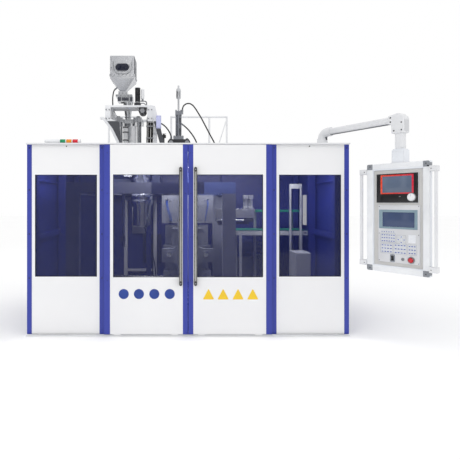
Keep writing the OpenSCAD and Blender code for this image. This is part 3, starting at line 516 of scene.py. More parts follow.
world = bpy.data.worlds.new("studio")
SC.world = world
world.use_nodes = True
wt = world.node_tree
wt.nodes.clear()
wo = wt.nodes.new("ShaderNodeOutputWorld")
wb = wt.nodes.new("ShaderNodeBackground")
wt.links.new(wb.outputs[0], wo.inputs[0])
wb.inputs["Color"].default_value = (1.0, 1.0, 1.0, 1)
wb.inputs["Strength"].default_value = 1.0


def area(name, loc, target, size, power, color=(1, 1, 1), spread=180):
    d = bpy.data.lights.new(name, "AREA")
    d.shape = "RECTANGLE"
    d.size, d.size_y = size
    d.energy = power
    d.color = color
    o = bpy.data.objects.new(name, d)
    COL.objects.link(o)
    o.location = loc
    o.rotation_euler = (Vector(target) - Vector(loc)).to_track_quat("-Z", "Y").to_euler()
    o.visible_glossy = name.startswith("inside")
    return o


area("key", (-3.5, -7.0, 6.0), (0, -1, 1.6), (4, 3), 95)
area("fill", (5.5, -6.5, 4.0), (1.4, -1, 1.4), (3, 3), 30)
area("back", (0, 6.0, 6.5), (0, 0, 2.0), (6, 2), 60)
# work lights under the roof, behind the windows
area("inside_left", (-0.45, -0.75, 2.21), (-0.45, -0.3, 0.5), (1.5, 0.35), 60)
area("inside_right", (1.15, -0.75, 2.21), (1.15, -0.25, 0.3), (1.1, 0.35), 40)
area("inside_front", (0.1, -1.02, 2.2), (0.1, -0.2, 1.0), (1.7, 0.06), 34)
area("inside_far_left", (-1.45, -0.75, 2.21), (-1.45, -0.2, 0.2), (0.5, 0.35), 12)


def card(name, loc, target, size, shade):
    """grey card that only shows in reflections"""
    bm = bmesh.new()
    bmesh.ops.create_grid(bm, x_segments=1, y_segments=1, size=0.5)
    me = bpy.data.meshes.new(name)
    bm.to_mesh(me)
    bm.free()
    o = bpy.data.objects.new(name, me)
    COL.objects.link(o)
    o.location = loc
    o.rotation_euler = (Vector(target) - Vector(loc)).to_track_quat("Z", "Y").to_euler()
    o.scale = (size[0], size[1], 1)
    me.materials.append(surface(name + "_card", (shade,) * 3, rough=0.9, big=0.5))
    o.visible_camera = False
    o.visible_diffuse = False
    o.visible_shadow = False
    o.visible_transmission = False
    return o


card("flag_left", (-6.5, -7.5, 3.0), (-0.5, -0.5, 2.2), (2.4, 7), 0.02)
card("flag_right", (3.6, -9.0, 3.4), (0, -0.5, 2.2), (2.0, 7), 0.02)
card("flag_side", (-7.0, 1.5, 3.5), (-0.8, 0, 2.6), (3.0, 6), 0.03)
card("flag_low", (0.0, -9.0, -0.8), (0, -1, 1.5), (9, 1.6), 0.05)
card("flag_high_left", (-4.1, -9.2, 6.3), (-0.9, 0.0, 3.5), (1.3, 4.6), 0.30)
card("flag_high_middle", (-2.2, -9.4, 6.4), (-0.9, 0.0, 3.5), (2.0, 1.5), 0.55)
card("flag_high_bar", (-2.0, -9.3, 4.75), (-0.9, 0.0, 3.3), (5.0, 0.35), 0.05)
card("flag_far_left", (-9.0, -3.0, 4.0), (-0.8, -0.4, 2.8), (5.0, 7.0), 0.03)
card("flag_far_right", (7.5, -4.5, 4.6), (-0.8, -0.4, 2.8), (3.6, 6.0), 0.03)
card("flag_back_left", (-5.5, 6.5, 4.2), (-0.8, -0.4, 2.8), (3.6, 6.0), 0.03)
card("flag_back_right", (4.5, 7.0, 4.2), (-0.8, -0.4, 2.8), (3.6, 6.0), 0.03)

# ------------------------------------------------------------------ CAD nodes


def paint(mat, *nodes, bevel=0.0, seg=2):
    for n in nodes:
        o = NODES[n]
        if o.material_slots:
            for s in o.material_slots:
                s.material = mat
        else:
            o.data.materials.append(mat)
        if bevel:
            w = o.modifiers.new("weld", "WELD")
            w.merge_threshold = 0.00002
            b = o.modifiers.new("edges", "BEVEL")
            b.width = bevel
            b.segments = seg
            b.limit_method = "ANGLE"
            b.angle_limit = RAD(38)
            b.use_clamp_overlap = True
            b.harden_normals = True


paint(DARKP, "base_frame", bevel=0.004)
paint(STEEL, "levelling_feet", bevel=0.0012)
paint(BLUEP, "enclosure_frame", bevel=0.004)
paint(WHITEP, "roof_plates", bevel=0.001)
paint(BLUEP, "outer_panels", bevel=0.0015)
paint(GLASS, "fixed_windows", "left_door_window", "right_door_window")
paint(FRONT, "front_panels", "left_door", "right_door", bevel=0.0012)
paint(WHITEP, "door_tracks", bevel=0.001)
paint(surface("rail_paint", lin(236, 237, 239), lin(226, 227, 229), rough=0.4, big=3.0, grain=0.14, gscale=400,
              gdist=0.0003), "guard_rails")


# painted shade: dark grey on the gantry below z 2.6645 within a thin band in y, where its underside falls in shadow
def gantry_painted_shade(t, pos):
    x, y, z = sep(t, pos)
    return math1(t, "MULTIPLY", math1(t, "LESS_THAN", z, 2.6645),
                 math1(t, "MULTIPLY", math1(t, "GREATER_THAN", y, -0.6101), math1(t, "LESS_THAN", y, -0.5859))), lin(70, 72, 78)


paint(surface("gantry_paint", lin(226, 227, 230), lin(205, 207, 211), rough=0.4, big=3.0, grain=0.16, gscale=400,
              gdist=0.0003, zones=[gantry_painted_shade]), "service_gantry", bevel=0.004)
# column steel: wide light and dark colour bands stretched along the columns stand in for reflections, painted
# reflections
TOWER_PAINTED_REFLECTIONS = surface("column_steel_painted_reflections", lin(196, 198, 202), lin(96, 98, 104), metal=1.0, rough=0.15, vary=0.06, big=3.2,
                 stretch=(5, 5, 0.7), wave=0.25, wscale=7.0, grain=0.12, gscale=70, gstretch=(1, 1, 12), gdist=0.0002)
paint(TOWER_PAINTED_REFLECTIONS, "head_tower", bevel=0.002)
paint(LOADER_PAINTED_SHEEN, "hopper_loader", bevel=0.004, seg=3)
paint(POLISH, "feed_chute", bevel=0.001)
paint(STEELX, "extruder_barrel", bevel=0.0015)
paint(surface("drive_paint", lin(74, 84, 130), lin(60, 70, 112), rough=0.42, big=2.6, grain=0.25, gscale=220,
              gdist=0.0005), "extruder_drive", bevel=0.004)
# die head jacket: wide light and dark colour bands stretched along it stand in for reflections, painted reflections
JACKET_PAINTED_REFLECTIONS = surface("polished_jacket_painted_reflections", lin(214, 216, 220), lin(150, 152, 158), metal=1.0, rough=0.16, vary=0.06, big=2.0,
                 stretch=(5, 5, 0.6), wave=0.3, wscale=8.0, grain=0.10, gscale=90, gstretch=(10, 10, 1), gdist=0.0002)
paint(JACKET_PAINTED_REFLECTIONS, "die_head", bevel=0.0015)
def platform_grey(t, pos):
    x, y, z = sep(t, pos)
    head = math1(t, "MULTIPLY", between(t, x, -0.96, -0.45), math1(t, "GREATER_THAN", z, 1.695))
    post = math1(t, "MULTIPLY", math1(t, "GREATER_THAN", x, 0.42), math1(t, "LESS_THAN", z, 1.6995))
    return math1(t, "MAXIMUM", head, post), lin(128, 131, 148)


def platform_blue(t, pos):
    x, y, z = sep(t, pos)
    return math1(t, "MULTIPLY", math1(t, "GREATER_THAN", x, 0.2), math1(t, "GREATER_THAN", z, 1.6995)), lin(96, 110, 168)


paint(surface("platform_paint", lin(58, 62, 92), lin(44, 47, 76), rough=0.5, vary=0.10, big=3.0, grain=0.3, gscale=150,
              gdist=0.0007, zones=[platform_grey, platform_blue]), "upper_platform", bevel=0.003)
paint(STEELX, "slide_rails", bevel=0.001)
paint(surface("blow_unit_grey", lin(140, 143, 150), lin(120, 123, 130), metal=0.7, rough=0.34, big=4.0, grain=0.2,
              gscale=90, gdist=0.0003), "blow_cylinder", bevel=0.0015)
paint(DARKP, "blow_mount", bevel=0.002)
paint(ALU, "takeout_rail", bevel=0.001)


def shelf_green(t, pos):
    x, y, z = sep(t, pos)
    on = math1(t, "MULTIPLY", between(t, z, 1.4515, 1.4805), math1(t, "LESS_THAN", x, 1.7105))
    return math1(t, "MULTIPLY", on, math1(t, "GREATER_THAN", y, 0.1)), lin(44, 150, 116)


paint(surface("frame_aluminium", lin(206, 208, 212), lin(180, 182, 188), metal=0.4, rough=0.36, vary=0.08, big=3.5,
              grain=0.2, gscale=70, gstretch=(1, 12, 12), gdist=0.0002, zones=[shelf_green]), "conveyor_frames", bevel=0.001)
paint(BELT, "conveyor_belt")


def unit_blue(t, pos):
    x, y, z = sep(t, pos)
    return math1(t, "GREATER_THAN", z, 0.7165), lin(58, 70, 130)


paint(surface("hydraulic_paint", lin(122, 126, 134), lin(104, 108, 116), rough=0.45, big=2.4, grain=0.2, gscale=240,
              gdist=0.0004, zones=[unit_blue]), "hydraulic_unit", bevel=0.003)
paint(surface("cabinet_grey_white", lin(168, 170, 180), lin(150, 152, 164), rough=0.45, big=2.0, grain=0.14, gscale=400,
              gdist=0.0003), "control_cabinet", bevel=0.003)
paint(LIGHTP, "signal_tower", bevel=0.001)


def lens_amber(t, pos):
    x, y, z = sep(t, pos)
    return between(t, x, -1.484, -1.407), lin(250, 158, 22)


def lens_red(t, pos):
    x, y, z = sep(t, pos)
    return math1(t, "GREATER_THAN", x, -1.407), lin(226, 44, 62)


paint(surface("lens_plastic", lin(34, 160, 104), lin(26, 138, 88), rough=0.2, vary=0.05, big=12.0, grain=0.25,
              gscale=30, gstretch=(14, 0.2, 0.2), gdist=0.002, coat=0.3, zones=[lens_amber, lens_red]), "signal_lenses")
paint(STEEL, "hose_glands", bevel=0.0008)
paint(WHITEP, "arm_base", bevel=0.002)
paint(LOADER_PAINTED_SHEEN, "loader_door", bevel=0.0012)
paint(STEELX, "extruder_screw")
paint(CASTD, "carriage", bevel=0.003)
paint(CASTG, "front_platen", "rear_platen", "cylinder_plate", bevel=0.003)
paint(CHROME, "tie_bars", bevel=0.0015)
paint(ALU, "front_mould", "rear_mould", bevel=0.002)
paint(CHROME, "blow_pin", bevel=0.001)
paint(DARKP, "takeout_gripper", bevel=0.001)
paint(STEELX, "drive_roller", "idler_roller")
paint(WHITEP, "arm_tubes", bevel=0.008, seg=3)
paint(PANELP, "panel_housing", bevel=0.002)
paint(WHITEP, "panel_handles", bevel=0.005, seg=3)
paint(REDP, "stop_button", bevel=0.001)
paint(LIGHTP, "selector_knob", bevel=0.001)
paint(BLACKP, "rocker_switch", bevel=0.001)
def push_collars(t, pos):
    x, y, z = sep(t, pos)
    m = None
    for z0 in (2.345, 2.437, 2.545, 2.612):
        k = between(t, z, z0 - 0.0005, z0 + 0.0145)
        m = k if m is None else math1(t, "MAXIMUM", m, k)
    return math1(t, "MULTIPLY", m, math1(t, "LESS_THAN", x, -0.80)), lin(48, 50, 56)


def push_rods(t, pos):
    x, y, z = sep(t, pos)
    return math1(t, "GREATER_THAN", z, 2.6355), lin(120, 122, 128)


paint(surface("push_cylinder_coat", lin(232, 233, 235), lin(212, 213, 216), rough=0.30, vary=0.08, big=3.0, coat=0.3,
              grain=0.14, gscale=420, gdist=0.00025, zones=[push_collars, push_rods]), "push_cylinders", bevel=0.001)
paint(DARKP, "servo_motor")
paint(HANDLE, "left_door_handle", "right_door_handle")

# ------------------------------------------------------------------ added pieces: doors and front

# window trim: a real bead round the windows, its white a shade lighter than the sheet as painted highlight
TRIM_WHITE_HIGHLIGHT = surface("window_trim_white", lin(236, 237, 239), lin(226, 227, 230), rough=0.32, vary=0.05, big=3.0,
                     grain=0.1, gscale=420, gdist=0.0002)
SEAL = surface("window_seal", lin(26, 28, 44), lin(18, 20, 34), rough=0.5, vary=0.08, big=6.0, grain=0.2, gscale=420,
               gdist=0.0003)
SCREWD = surface("dark_screw_steel", lin(70, 70, 74), lin(50, 50, 54), metal=0.8, rough=0.36, vary=0.08, big=30.0,
                 grain=0.2, gscale=260, gdist=0.0003)
SIGNB = surface("sign_disc_blue", lin(62, 112, 200), lin(52, 100, 188), rough=0.38, vary=0.05, big=6.0, grain=0.08,
                gscale=520, gdist=0.00015)
SIGNR = surface("sign_rim_navy", lin(28, 62, 146), lin(24, 54, 130), rough=0.4, vary=0.05, big=6.0, grain=0.08,
                gscale=520, gdist=0.00015)
SIGNY = surface("sign_triangle_yellow", lin(238, 200, 40), lin(226, 184, 30), rough=0.4, vary=0.05, big=6.0,
                grain=0.08, gscale=520, gdist=0.00015)

B = Build()
S = Build()
for s in (-1, 1):
    a, b = sorted((s * 1092, s * 1836))
    B.frame_xz(a, b, 700, 1924, 13, -1101.6, -1099.5, 0.6)
    S.frame_xz(a + 7, b - 7, 707, 1917, 6.9, -1100.6, -1096.9, 0.8)
B.done("fixed_window_trims", TRIM_WHITE_HIGHLIGHT, slot="white_paint")
S.done("fixed_window_seals", SEAL, slot="rubber_black")
B = Build()
for s in (-1, 1):
    for x in (1032, 1904):
        for z in (2244, 1740, 1212, 684):
            B.screw((s * x, -1102, z), (0, -1, 0), 7.5, 3.0)
    B.screw((s * 1458, -1100, 2265), (0, -1, 0), 7.5, 3.0)
B.done("front_screws", SCREWD, slot="machined_steel")

for side, s in (("left", -1), ("right", 1)):
    body = side + "_door"
    a, b = sorted((s * 78, s * 893))
    B = Build()
    B.frame_xz(a, b, 700, 1924, 13, -1143.8, -1141.5, 0.6)
    B.done(side + "_door_trim", TRIM_WHITE_HIGHLIGHT, body, "white_paint")
    B = Build()
    B.frame_xz(a + 7, b - 7, 707, 1917, 6.9, -1142.8, -1138.9, 0.8)
    B.done(side + "_door_seal", SEAL, body, "rubber_black")
    # signs without print: raised plates
    if s < 0:
        D, R = Build(), Build()
        for x in (-765.7, -584.9, -401.6, -218.4):
            D.lathe((x, -1142, 501), (0, -1, 0), [(0, 0), (54, 0), (54, 1.1), (53, 1.4), (0, 1.4)], 48)
            R.lathe((x, -1142, 501), (0, -1, 0), [(53, 0), (60, 0), (60, 1.2), (59.2, 1.9), (54, 1.9), (53, 1.5)], 48)
        D.done("sign_discs", SIGNB, body, "blue_paint")
        R.done("sign_disc_rims", SIGNR, body, "blue_paint")
    else:
        D = Build()
        for x in (243.3, 417.1, 594.4, 769.3):
            pts = []
            for cx, cz, st in ((-57, 443, 150), (57, 443, 270), (0, 551, 30)):
                for k in range(7):
                    an = RAD(st + 20 * k)
                    pts.append((x + cx + 6.5 * math.cos(an), cz + 6.5 * math.sin(an)))
            D.prism(pts, "y", -1143.6, -1141.9, 0.5, 1)
        D.done("sign_triangles", SIGNY, body, "door_paint")
    # handle: dark profile with a light strip down its front as painted highlight, rounded end blocks with their screws
    H, I, E, K = Build(), Build(), Build(), Build()
    cx = s * 88
    prof = []
    for ox, st in ((9, -90), (-9, 90)):
        for k in range(9):
            an = RAD(st + 180 * k / 8)
            prof.append((cx + ox + 9 * math.cos(an), -1190 + 9 * math.sin(an)))
    H.prism(prof, "z", 618, 1998)
    for z in (700, 1916):
        H.box((cx - 18, -1199.4, z - 3), (cx + 18, -1180.6, z + 3), 1.0)
    I.box((cx - 8.5, -1200.6, 640), (cx + 8.5, -1196, 1976), 1.2)
    I.box((cx - 3, -1201.2, 650), (cx + 3, -1199, 1966), 0.6)
    for z in (636, 1980):
        blk = []
        for oz, st in ((11, 0), (-11, 180)):
            for k in range(9):
                an = RAD(st + 180 * k / 8)
                blk.append((cx + 17 * math.cos(an), z + oz + 17 * math.sin(an)))
        E.prism(blk, "y", -1205, -1142, 3.0, 3)
        K.screw((cx, -1204.5, z), (0, -1, 0), 8, 3.4)
        K.box((cx - 16.8, -1170, z - 3), (cx + 16.8, -1166, z + 3), 0.6)
    hh = H.done(side + "_handle_bar", HANDLE, body, "handle_grey", replaces=[side + "_door_handle"])
    I.done(side + "_handle_painted_highlight", HANDLE_PAINTED_HIGHLIGHT, body, "handle_grey")
    E.done(side + "_handle_blocks", HANDLE_END, body, "handle_grey")
    K.done(side + "_handle_screws", STEEL, body, "machined_steel")

# ------------------------------------------------------------------ signal tower

LENSES = (("green", -1553, (30, 158, 104)), ("amber", -1477, (250, 158, 22)), ("red", -1401, (226, 44, 62)))
first = True
for nm, x0, c in LENSES:
    B = Build()
    prof = [(0, 0.2), (24, 0.2), (26.3, 2)]
    h = 2
    while h < 56:
        prof += [(26.3, h + 1.6), (25.0, h + 2.6), (25.0, h + 3.6), (26.3, h + 4.6)]
        h += 4.6
    prof += [(26.3, 60.6), (24, 62.6), (0, 62.6)]
    B.lathe((x0, -1020, 2335), (1, 0, 0), prof, 48)
    lm = surface("lens_" + nm, lin(*c), dim(lin(*c), 0.8), rough=0.18, vary=0.05, big=14.0, grain=0.1, gscale=300,
                 gdist=0.0002, coat=0.5)
    B.done("lens_" + nm, lm, slot="lens_plastic", replaces=["signal_lenses"] if first else ())
    first = False
B = Build()
for x in (-1716, -1330):
    B.box((x - 1.5, -1038, 2296.2), (x + 17.5, -1002, 2316), 1.5)
    B.screw((x + 8, -1038, 2306), (0, -1, 0), 4, 2)
B.done("signal_feet", DARKP, slot="dark_paint")

# ------------------------------------------------------------------ roof: loader, chute, motor, gantry

DARKG = glass("loader_sight_dark", lin(30, 34, 52), 0.96, 0.06)
B = Build()
oval = []
for ox, st in ((48, -90), (-48, 90)):
    for k in range(13):
        an = RAD(st + 180 * k / 12)
        oval.append((-965 + ox + 54.6 * math.cos(an), 3615 + 54.6 * math.sin(an)))
B.prism(oval, "y", 131.6, 134.9, 1.0)
B.done("loader_sight", DARKG, "loader_door", "polished_steel")


def stadium(cx, cz, hx_, r, k=12, a0=-90, a1=90):
    pts = []
    for ox, st in ((hx_, -90), (-hx_, 90)):
        for i in range(k + 1):
            an = RAD(st + 180 * i / k)
            pts.append((cx + ox + r * math.cos(an), cz + r * math.sin(an)))
    return pts


# rounded bead round the sight and a raised visor that runs down both sides and under it
B = Build()
ring = [(x, 132.5, z) for x, z in stadium(-965, 3615, 48, 61.5, 14)]
B.tube(ring + [ring[0], ring[1]], 6.2, 10, squash=0.6)
vis = [(-1098, 3700), (-1100, 3660), (-1098, 3610), (-1084, 3568), (-1058, 3540), (-1022, 3525), (-980, 3520),
       (-950, 3520), (-908, 3525), (-872, 3540), (-846, 3568), (-832, 3610), (-830, 3660), (-832, 3700)]
B.tube([(x, 135.5, z) for x, z in ((p.x, p.y) for p in catmull([(a, b, 0) for a, b in vis], 3))], 7.5, 10, squash=0.55)
# latch and its plate at the free edge
B.box((-838, 131, 3650), (-816, 139, 3720), 2.0)
B.cyl((-827, 134, 3685), (-827, 118, 3685), 9, 2)
B.box((-832, 112, 3650), (-822, 120, 3700), 2.5)
B.done("loader_visor", POLISH, "loader_door", "polished_steel")

B = Build()
# side plate darkened as painted shade, clamp rings and flange bolts
B.box((-790, 152, 3524), (-785.5, 448, 3786), 1.2)
B.done("loader_side_plate", surface("loader_side_shade", lin(92, 96, 106), lin(66, 70, 80), metal=0.85, rough=0.34,
                                    big=3.0, grain=0.2, gscale=160, gstretch=(1, 10, 1), gdist=0.0003),
       slot="polished_steel")
B = Build()
B.box((-787, 230, 3640), (-782.5, 330, 3720), 2.0)
B.cyl((-784, 280, 3680), (-782, 280, 3680), 24, 1)
for x in range(-1140, -790, 58):
    B.hexnut((x, 142, 3502), (x, 135, 3502), 8, 1.0)
for y in range(180, 440, 60):
    B.hexnut((-781, y, 3502), (-775, y, 3502), 8, 1.0)
for x in (-1025, -972, -919):
    B.hexnut((x, 232, 3255), (x, 225, 3255), 9, 1.0)
for x in (-1058, -1000, -945, -890, -842):
    B.hexnut((x, 200, 3210), (x, 193, 3210), 8.5, 1.0)
B.lathe((-900, 300, 2884), (0, 0, 1), [(42.2, 0), (47, 0), (47, 12), (42.2, 12)], 40)
B.lathe((-900, 300, 2320), (0, 0, 1), [(42.2, 0), (50, 0), (50, 14), (42.2, 14)], 40)
B.done("loader_fittings", STEEL, slot="machined_steel")
# slide gate motor box on the dark block under the loader
B = Build()
B.box((-1046, 205, 3132), (-1000, 219.5, 3186), 3)
B.box((-985, 208, 3138), (-880, 219.5, 3182), 3)
B.box((-860, 205, 3132), (-824, 219.5, 3186), 3)
B.cyl((-932, 208, 3160), (-932, 199, 3160), 14, 2)
B.done("gate_covers", CASTD, slot="dark_paint")

# servo motor: ribbed body, connector, white cap line; filter bowl beside it
B = Build()
mx, my = -668, -500
B.box((mx - 42, my - 42, 2875.3), (mx + 42, my + 42, 2925), 4, 3)
B.lathe((mx, my, 2925), (0, 0, 1), [(0, 0), (36, 0), (36, 8), (30, 10), (30, 186), (36, 188), (36, 196), (33, 200), (0, 200)], 40)
for k in range(20):
    an = RAD(18 * k)
    L = Matrix.Translation((mx, my, 0)) @ Matrix.Rotation(an, 4, "Z")
    B.box((29, -1.8, 2938), (34.5, 1.8, 3108), 0.7, 1, local=L)
B.box((mx - 14, my - 47, 3040), (mx + 14, my - 30, 3092), 3)
B.cyl((mx, my - 47, 3066), (mx, my - 54, 3066), 8, 1.5)
B.done("servo_body", DARKP, slot="dark_paint", replaces=["servo_motor"])
B = Build()
B.lathe((mx, my, 3125), (0, 0, 1), [(0, 0), (37.5, 0), (38, 1.5), (38, 5.5), (34, 8.5), (0, 10)], 40)
B.lathe((mx, my, 2930), (0, 0, 1), [(34, 0), (37.4, 0), (37.4, 5), (34, 5)], 40)
fx = -602
B.lathe((fx, my, 2982), (0, 0, 1), [(0, -8), (8, -7), (17, -1), (22, 8), (23, 20), (23, 92), (20.5, 94), (20.5, 97),
                                    (23, 99), (23, 122), (19, 128), (0, 128)], 36)
B.done("filter_bowl", WHITEP, slot="white_paint")
B = Build()
B.cyl((fx, my, 2955), (fx, my, 2976), 14, 2)
B.box((-630, -515, 2945), (-580, -485, 2958), 3)
# pipe elbows along the top plate
B.tube(catmull([(-590, -500, 2951), (-566, -500, 2950), (-552, -500, 2940), (-548, -500, 2920), (-548, -500, 2876)], 5), 8, 14)
B.tube(catmull([(-626, -540, 2912), (-600, -548, 2912), (-574, -552, 2908), (-562, -552, 2896), (-560, -552, 2876)], 5), 7, 14)
for p in ((-548, -500, 2876), (-560, -552, 2876)):
    B.hexnut(p, (p[0], p[1], p[2] + 10), 13)
B.done("servo_pipes", STEEL, slot="machined_steel")
# belt drive housing hanging under the top plate
B = Build()
B.cyl((-596, -604, 2800), (-596, -470, 2800), 49, 8)
B.box((-640, -600, 2806), (-552, -474, 2849.7), 6)
B.done("tower_drive", DARKP, slot="dark_paint")
B = Build()
B.cyl((-596, -612, 2800), (-596, -603, 2800), 30, 2)
for k in range(6):
    an = RAD(60 * k)
    B.hexnut((-596 + 40 * math.cos(an), -604, 2800 + 40 * math.sin(an)), (-596 + 40 * math.cos(an), -609, 2800 + 40 * math.sin(an)), 5)
# bolts of the two beams
for x0, x1 in ((-1087, -1015), (-530, -457)):
    for z in (2700, 2815):
        for x in (x0 + 16, x1 - 16):
            B.hexnut((x, -612 if x < -1000 else -600.5, z), (x, -619 if x < -1000 else -607, z), 9)
B.done("tower_bolts", STEEL, slot="machined_steel")
# armoured pipes down the right beam, in two clamps
B = Build()
for i, (x, y) in enumerate(((-543, -470), (-524, -462), (-505, -474), (-486, -464), (-470, -476), (-514, -488), (-478, -490))):
    top = 2740 - 9 * (i % 3)
    pts = catmull([(x + 14, -500 - 3 * i, top + 20), (x + 3, y - 12, top - 30), (x, y, top - 90), (x, y, 2520),
                   (x - 3, y, 2420), (x - 2, y, 2322)], 5)
    B.tube(pts, 8.2, 12)
B.done("pipe_bundle", RUBBER, slot="rubber_black")
B = Build()
for z in (2610, 2450):
    B.box((-556, -500, z), (-458, -452, z + 16), 3)
B.box((-560, -502, 2320.2), (-456, -450, 2332), 2)
for x, y in ((-543, -470), (-524, -462), (-505, -474), (-486, -464), (-470, -476)):
    B.cyl((x, y, 2332), (x, y, 2350), 11, 1.5)
B.done("pipe_clamps", STEEL, slot="machined_steel")
# terminal box on the raking leg, shut-off valve on its stand
B = Build()
B.box((-411, -640, 2564), (-347, -594.3, 2733), 6, 3)
B.box((-407, -643, 2572), (-351, -639, 2725), 2)
B.done("terminal_box", VIOLET, slot="white_plastic")
B = Build()
for x in (-400, -358):
    for z in (2580, 2717):
        B.screw((x, -643, z), (0, -1, 0), 4, 2)
B.cyl((-379, -620, 2552), (-379, -620, 2564), 10, 2)
B.done("terminal_screws", STEEL, slot="machined_steel")
B = Build()
B.box((-351, -402, 2476), (-292, -358, 2518), 5, 3)
B.cyl((-322, -380, 2518), (-322, -380, 2530), 12, 2)
B.box((-340, -386, 2530), (-288, -374, 2536), 2)
B.box((-332, -390, 2296.2), (-312, -370, 2476), 2)
B.box((-350, -408, 2296.2), (-294, -352, 2304), 2)
B.done("shutoff_valve", BLACKP, slot="dark_paint")
# domed fittings on the blow unit's mount, cap nuts on the blow cylinder
B = Build()
for x in (-222, -4):
    B.lathe((x, -420, 2440), (0, 0, 1), [(0, 0), (20, 0), (20, 14), (17, 22), (10, 28), (0, 31)], 28)
    B.cyl((x, -450, 2404), (x, -457, 2404), 30, 2)
    B.hexnut((x, -457, 2404), (x, -464, 2404), 14)
for x in (-178, -62):
    for y in (-438, -322):
        B.hexnut((x, y, 2490), (x, y, 2500), 10)
B.lathe((-120, -380, 2490), (0, 0, 1), [(30.2, 0), (38, 0), (38, 12), (30.2, 12)], 40)
B.lathe((-120, -380, 2776), (0, 0, 1), [(30.2, 0), (36, 0), (36, 12), (30.2, 12)], 40)
B.done("blow_fittings", STEEL, slot="machined_steel")
B = Build()
for z in (2560, 2700):
    B.box((-104, -416, z), (-88, -404, z + 46), 2.5)
    B.tube([(-96, -413, z + 6), (-96, -416, z - 16), (-98, -414, z - 40)], 3, 8)
B.done("blow_sensors", BLACKP, slot="dark_paint")

# ------------------------------------------------------------------ swivel arm: rounded castings

PIV = Matrix.Translation((1.733, -0.739, 0)) @ Matrix.Rotation(RAD(-59), 4, "Z")
B = Build(PIV)
B.lathe((0, 0, 2316.3), (0, 0, 1), [(40.2, 0), (72, 0), (74, 2), (74, 30), (70, 36), (66, 60), (64, 70), (40.2, 70)], 48)
B.lathe((0, 0, 2380), (0, 0, 1), [(40.2, 0), (64, 0), (64, 26), (0, 26)], 48)
root = catmull([(0, 0, 2378), (2, 0, 2410), (14, 0, 2446), (44, 0, 2474), (88, 0, 2484), (122, 0, 2483.5)], 5)
B.tube(root, 56, 28)
B.lathe((112, 0, 2483.5), (1, 0, 0), [(0, 0), (52, 0), (57, 4), (57, 26), (52, 30), (0, 30)], 40)


def round_bar(x0, x1, hy, z0, z1, r, k=6):
    pts = []
    for cy, cz, st in ((hy - r, z0 + r, -90), (hy - r, z1 - r, 0), (-hy + r, z1 - r, 90), (-hy + r, z0 + r, 180)):
        for i in range(k + 1):
            an = RAD(st + 90 * i / k)
            pts.append((cy + r * math.cos(an), cz + r * math.sin(an)))
    B.prism(pts, "x", x0, x1, 0)


round_bar(120, 962, 34, 2445, 2522, 22)
B.prism([(932, 2438), (932, 2527), (1036, 2545), (1066, 2538), (1104, 2500), (1110, 2478), (1110, 2336), (1104, 2330),
         (980, 2330), (972, 2336), (966, 2424), (956, 2436)], "y", -52, 52, 9, 3)
B.done("arm_castings", WHITEP, "arm", "white_paint", replaces=["arm_tubes"])
# dark grey strip under the arm bar and a small post at its root: painted shadow
B = Build(PIV)
B.box((130, -20, 2441.6), (925, 20, 2445.4), 1.2)
B.cyl((60, 0, 2404), (60, 0, 2426), 15, 2)
B.done("arm_underside_painted_shadow", surface("arm_shadow_grey", lin(92, 95, 102), lin(76, 79, 86), rough=0.5, big=4.0, grain=0.2,
                                gscale=300, gdist=0.0003), "arm", "dark_paint")
# plate on the arm's end face, grey a shade darker than the arm: painted shade of the end face
B = Build(PIV)
B.box((1109.5, -40, 2345), (1112, 40, 2470), 1.2)
B.done("arm_end_shade_plate", surface("end_face_painted_shade", lin(202, 203, 206), lin(190, 191, 194), rough=0.42, big=4.0, grain=0.14,
                                gscale=300, gdist=0.0003), "arm", "white_plastic")
B = Build(PIV)
B.screw((66, 0, 2396), (0, 0, -1), 12, 9)
B.cyl((66, 0, 2396), (66, 0, 2430), 9, 1)
for y in (-53, 53):
    for x, z in ((960, 2460), (960, 2505), (1084, 2360), (1084, 2440), (1000, 2360)):
        B.screw((x, math.copysign(51.5, y), z), (0, math.copysign(1, y), 0), 8, 3.5)
for k in range(6):
    an = RAD(60 * k + 15)
    B.screw((72.5 * math.cos(an), 72.5 * math.sin(an), 2332), (math.cos(an), math.sin(an), 0), 6, 3)
B.done("arm_screws", SCREWD, "arm", "machined_steel")
PAN = Matrix.Translation((1.733 + 1.043 * math.cos(RAD(-59)), -0.739 + 1.043 * math.sin(RAD(-59)), 0)) @ \
    Matrix.Rotation(RAD(-52.3), 4, "Z")
B = Build(PAN)
B.box((-42, -42, 2166), (42, 42, 2358), 9, 3)
B.lathe((0, 0, 2060), (0, 0, 1), [(0, 0), (35, 0), (35, 106), (0, 106)], 40)
B.lathe((0, 0, 2165), (0, 0, 1), [(0, -2.4), (46, -2.4), (47, -1), (47, 10), (44, 13), (0, 13)], 40)
B.done("drop_tube", WHITEP, "arm", "white_paint")

# ------------------------------------------------------------------ control panel (t along its width, y towards its back)

SILVER = surface("unit_silver", lin(214, 215, 218), lin(203, 204, 207), metal=0.12, rough=0.38, vary=0.06, big=2.4,
                 grain=0.14, gscale=420, gdist=0.0002)
TEAL = surface("frame_teal_grey", lin(134, 156, 166), lin(122, 144, 156), rough=0.42, vary=0.06, big=3.0, grain=0.12,
               gscale=420, gdist=0.0002)
SLATE = glass("slate_screen", lin(72, 86, 118), 1.0, 0.16)
KEYP = surface("key_membrane", lin(214, 218, 224), lin(202, 206, 212), rough=0.44, vary=0.06, big=8.0, grain=0.12,
               gscale=500, gdist=0.0002)
KEYB = surface("key_mark_blue", lin(40, 70, 158), lin(32, 60, 146), rough=0.44, vary=0.06, big=20.0, grain=0.08,
               gscale=500, gdist=0.0001)
PADP = surface("keypad_pale", lin(232, 234, 238), lin(222, 224, 229), rough=0.42, vary=0.06, big=8.0, grain=0.1,
               gscale=500, gdist=0.0002)
COLLAR = surface("button_collar", lin(150, 152, 156), lin(128, 130, 134), metal=0.5, rough=0.34, vary=0.07, big=20.0,
                 grain=0.12, gscale=300, gdist=0.0002)
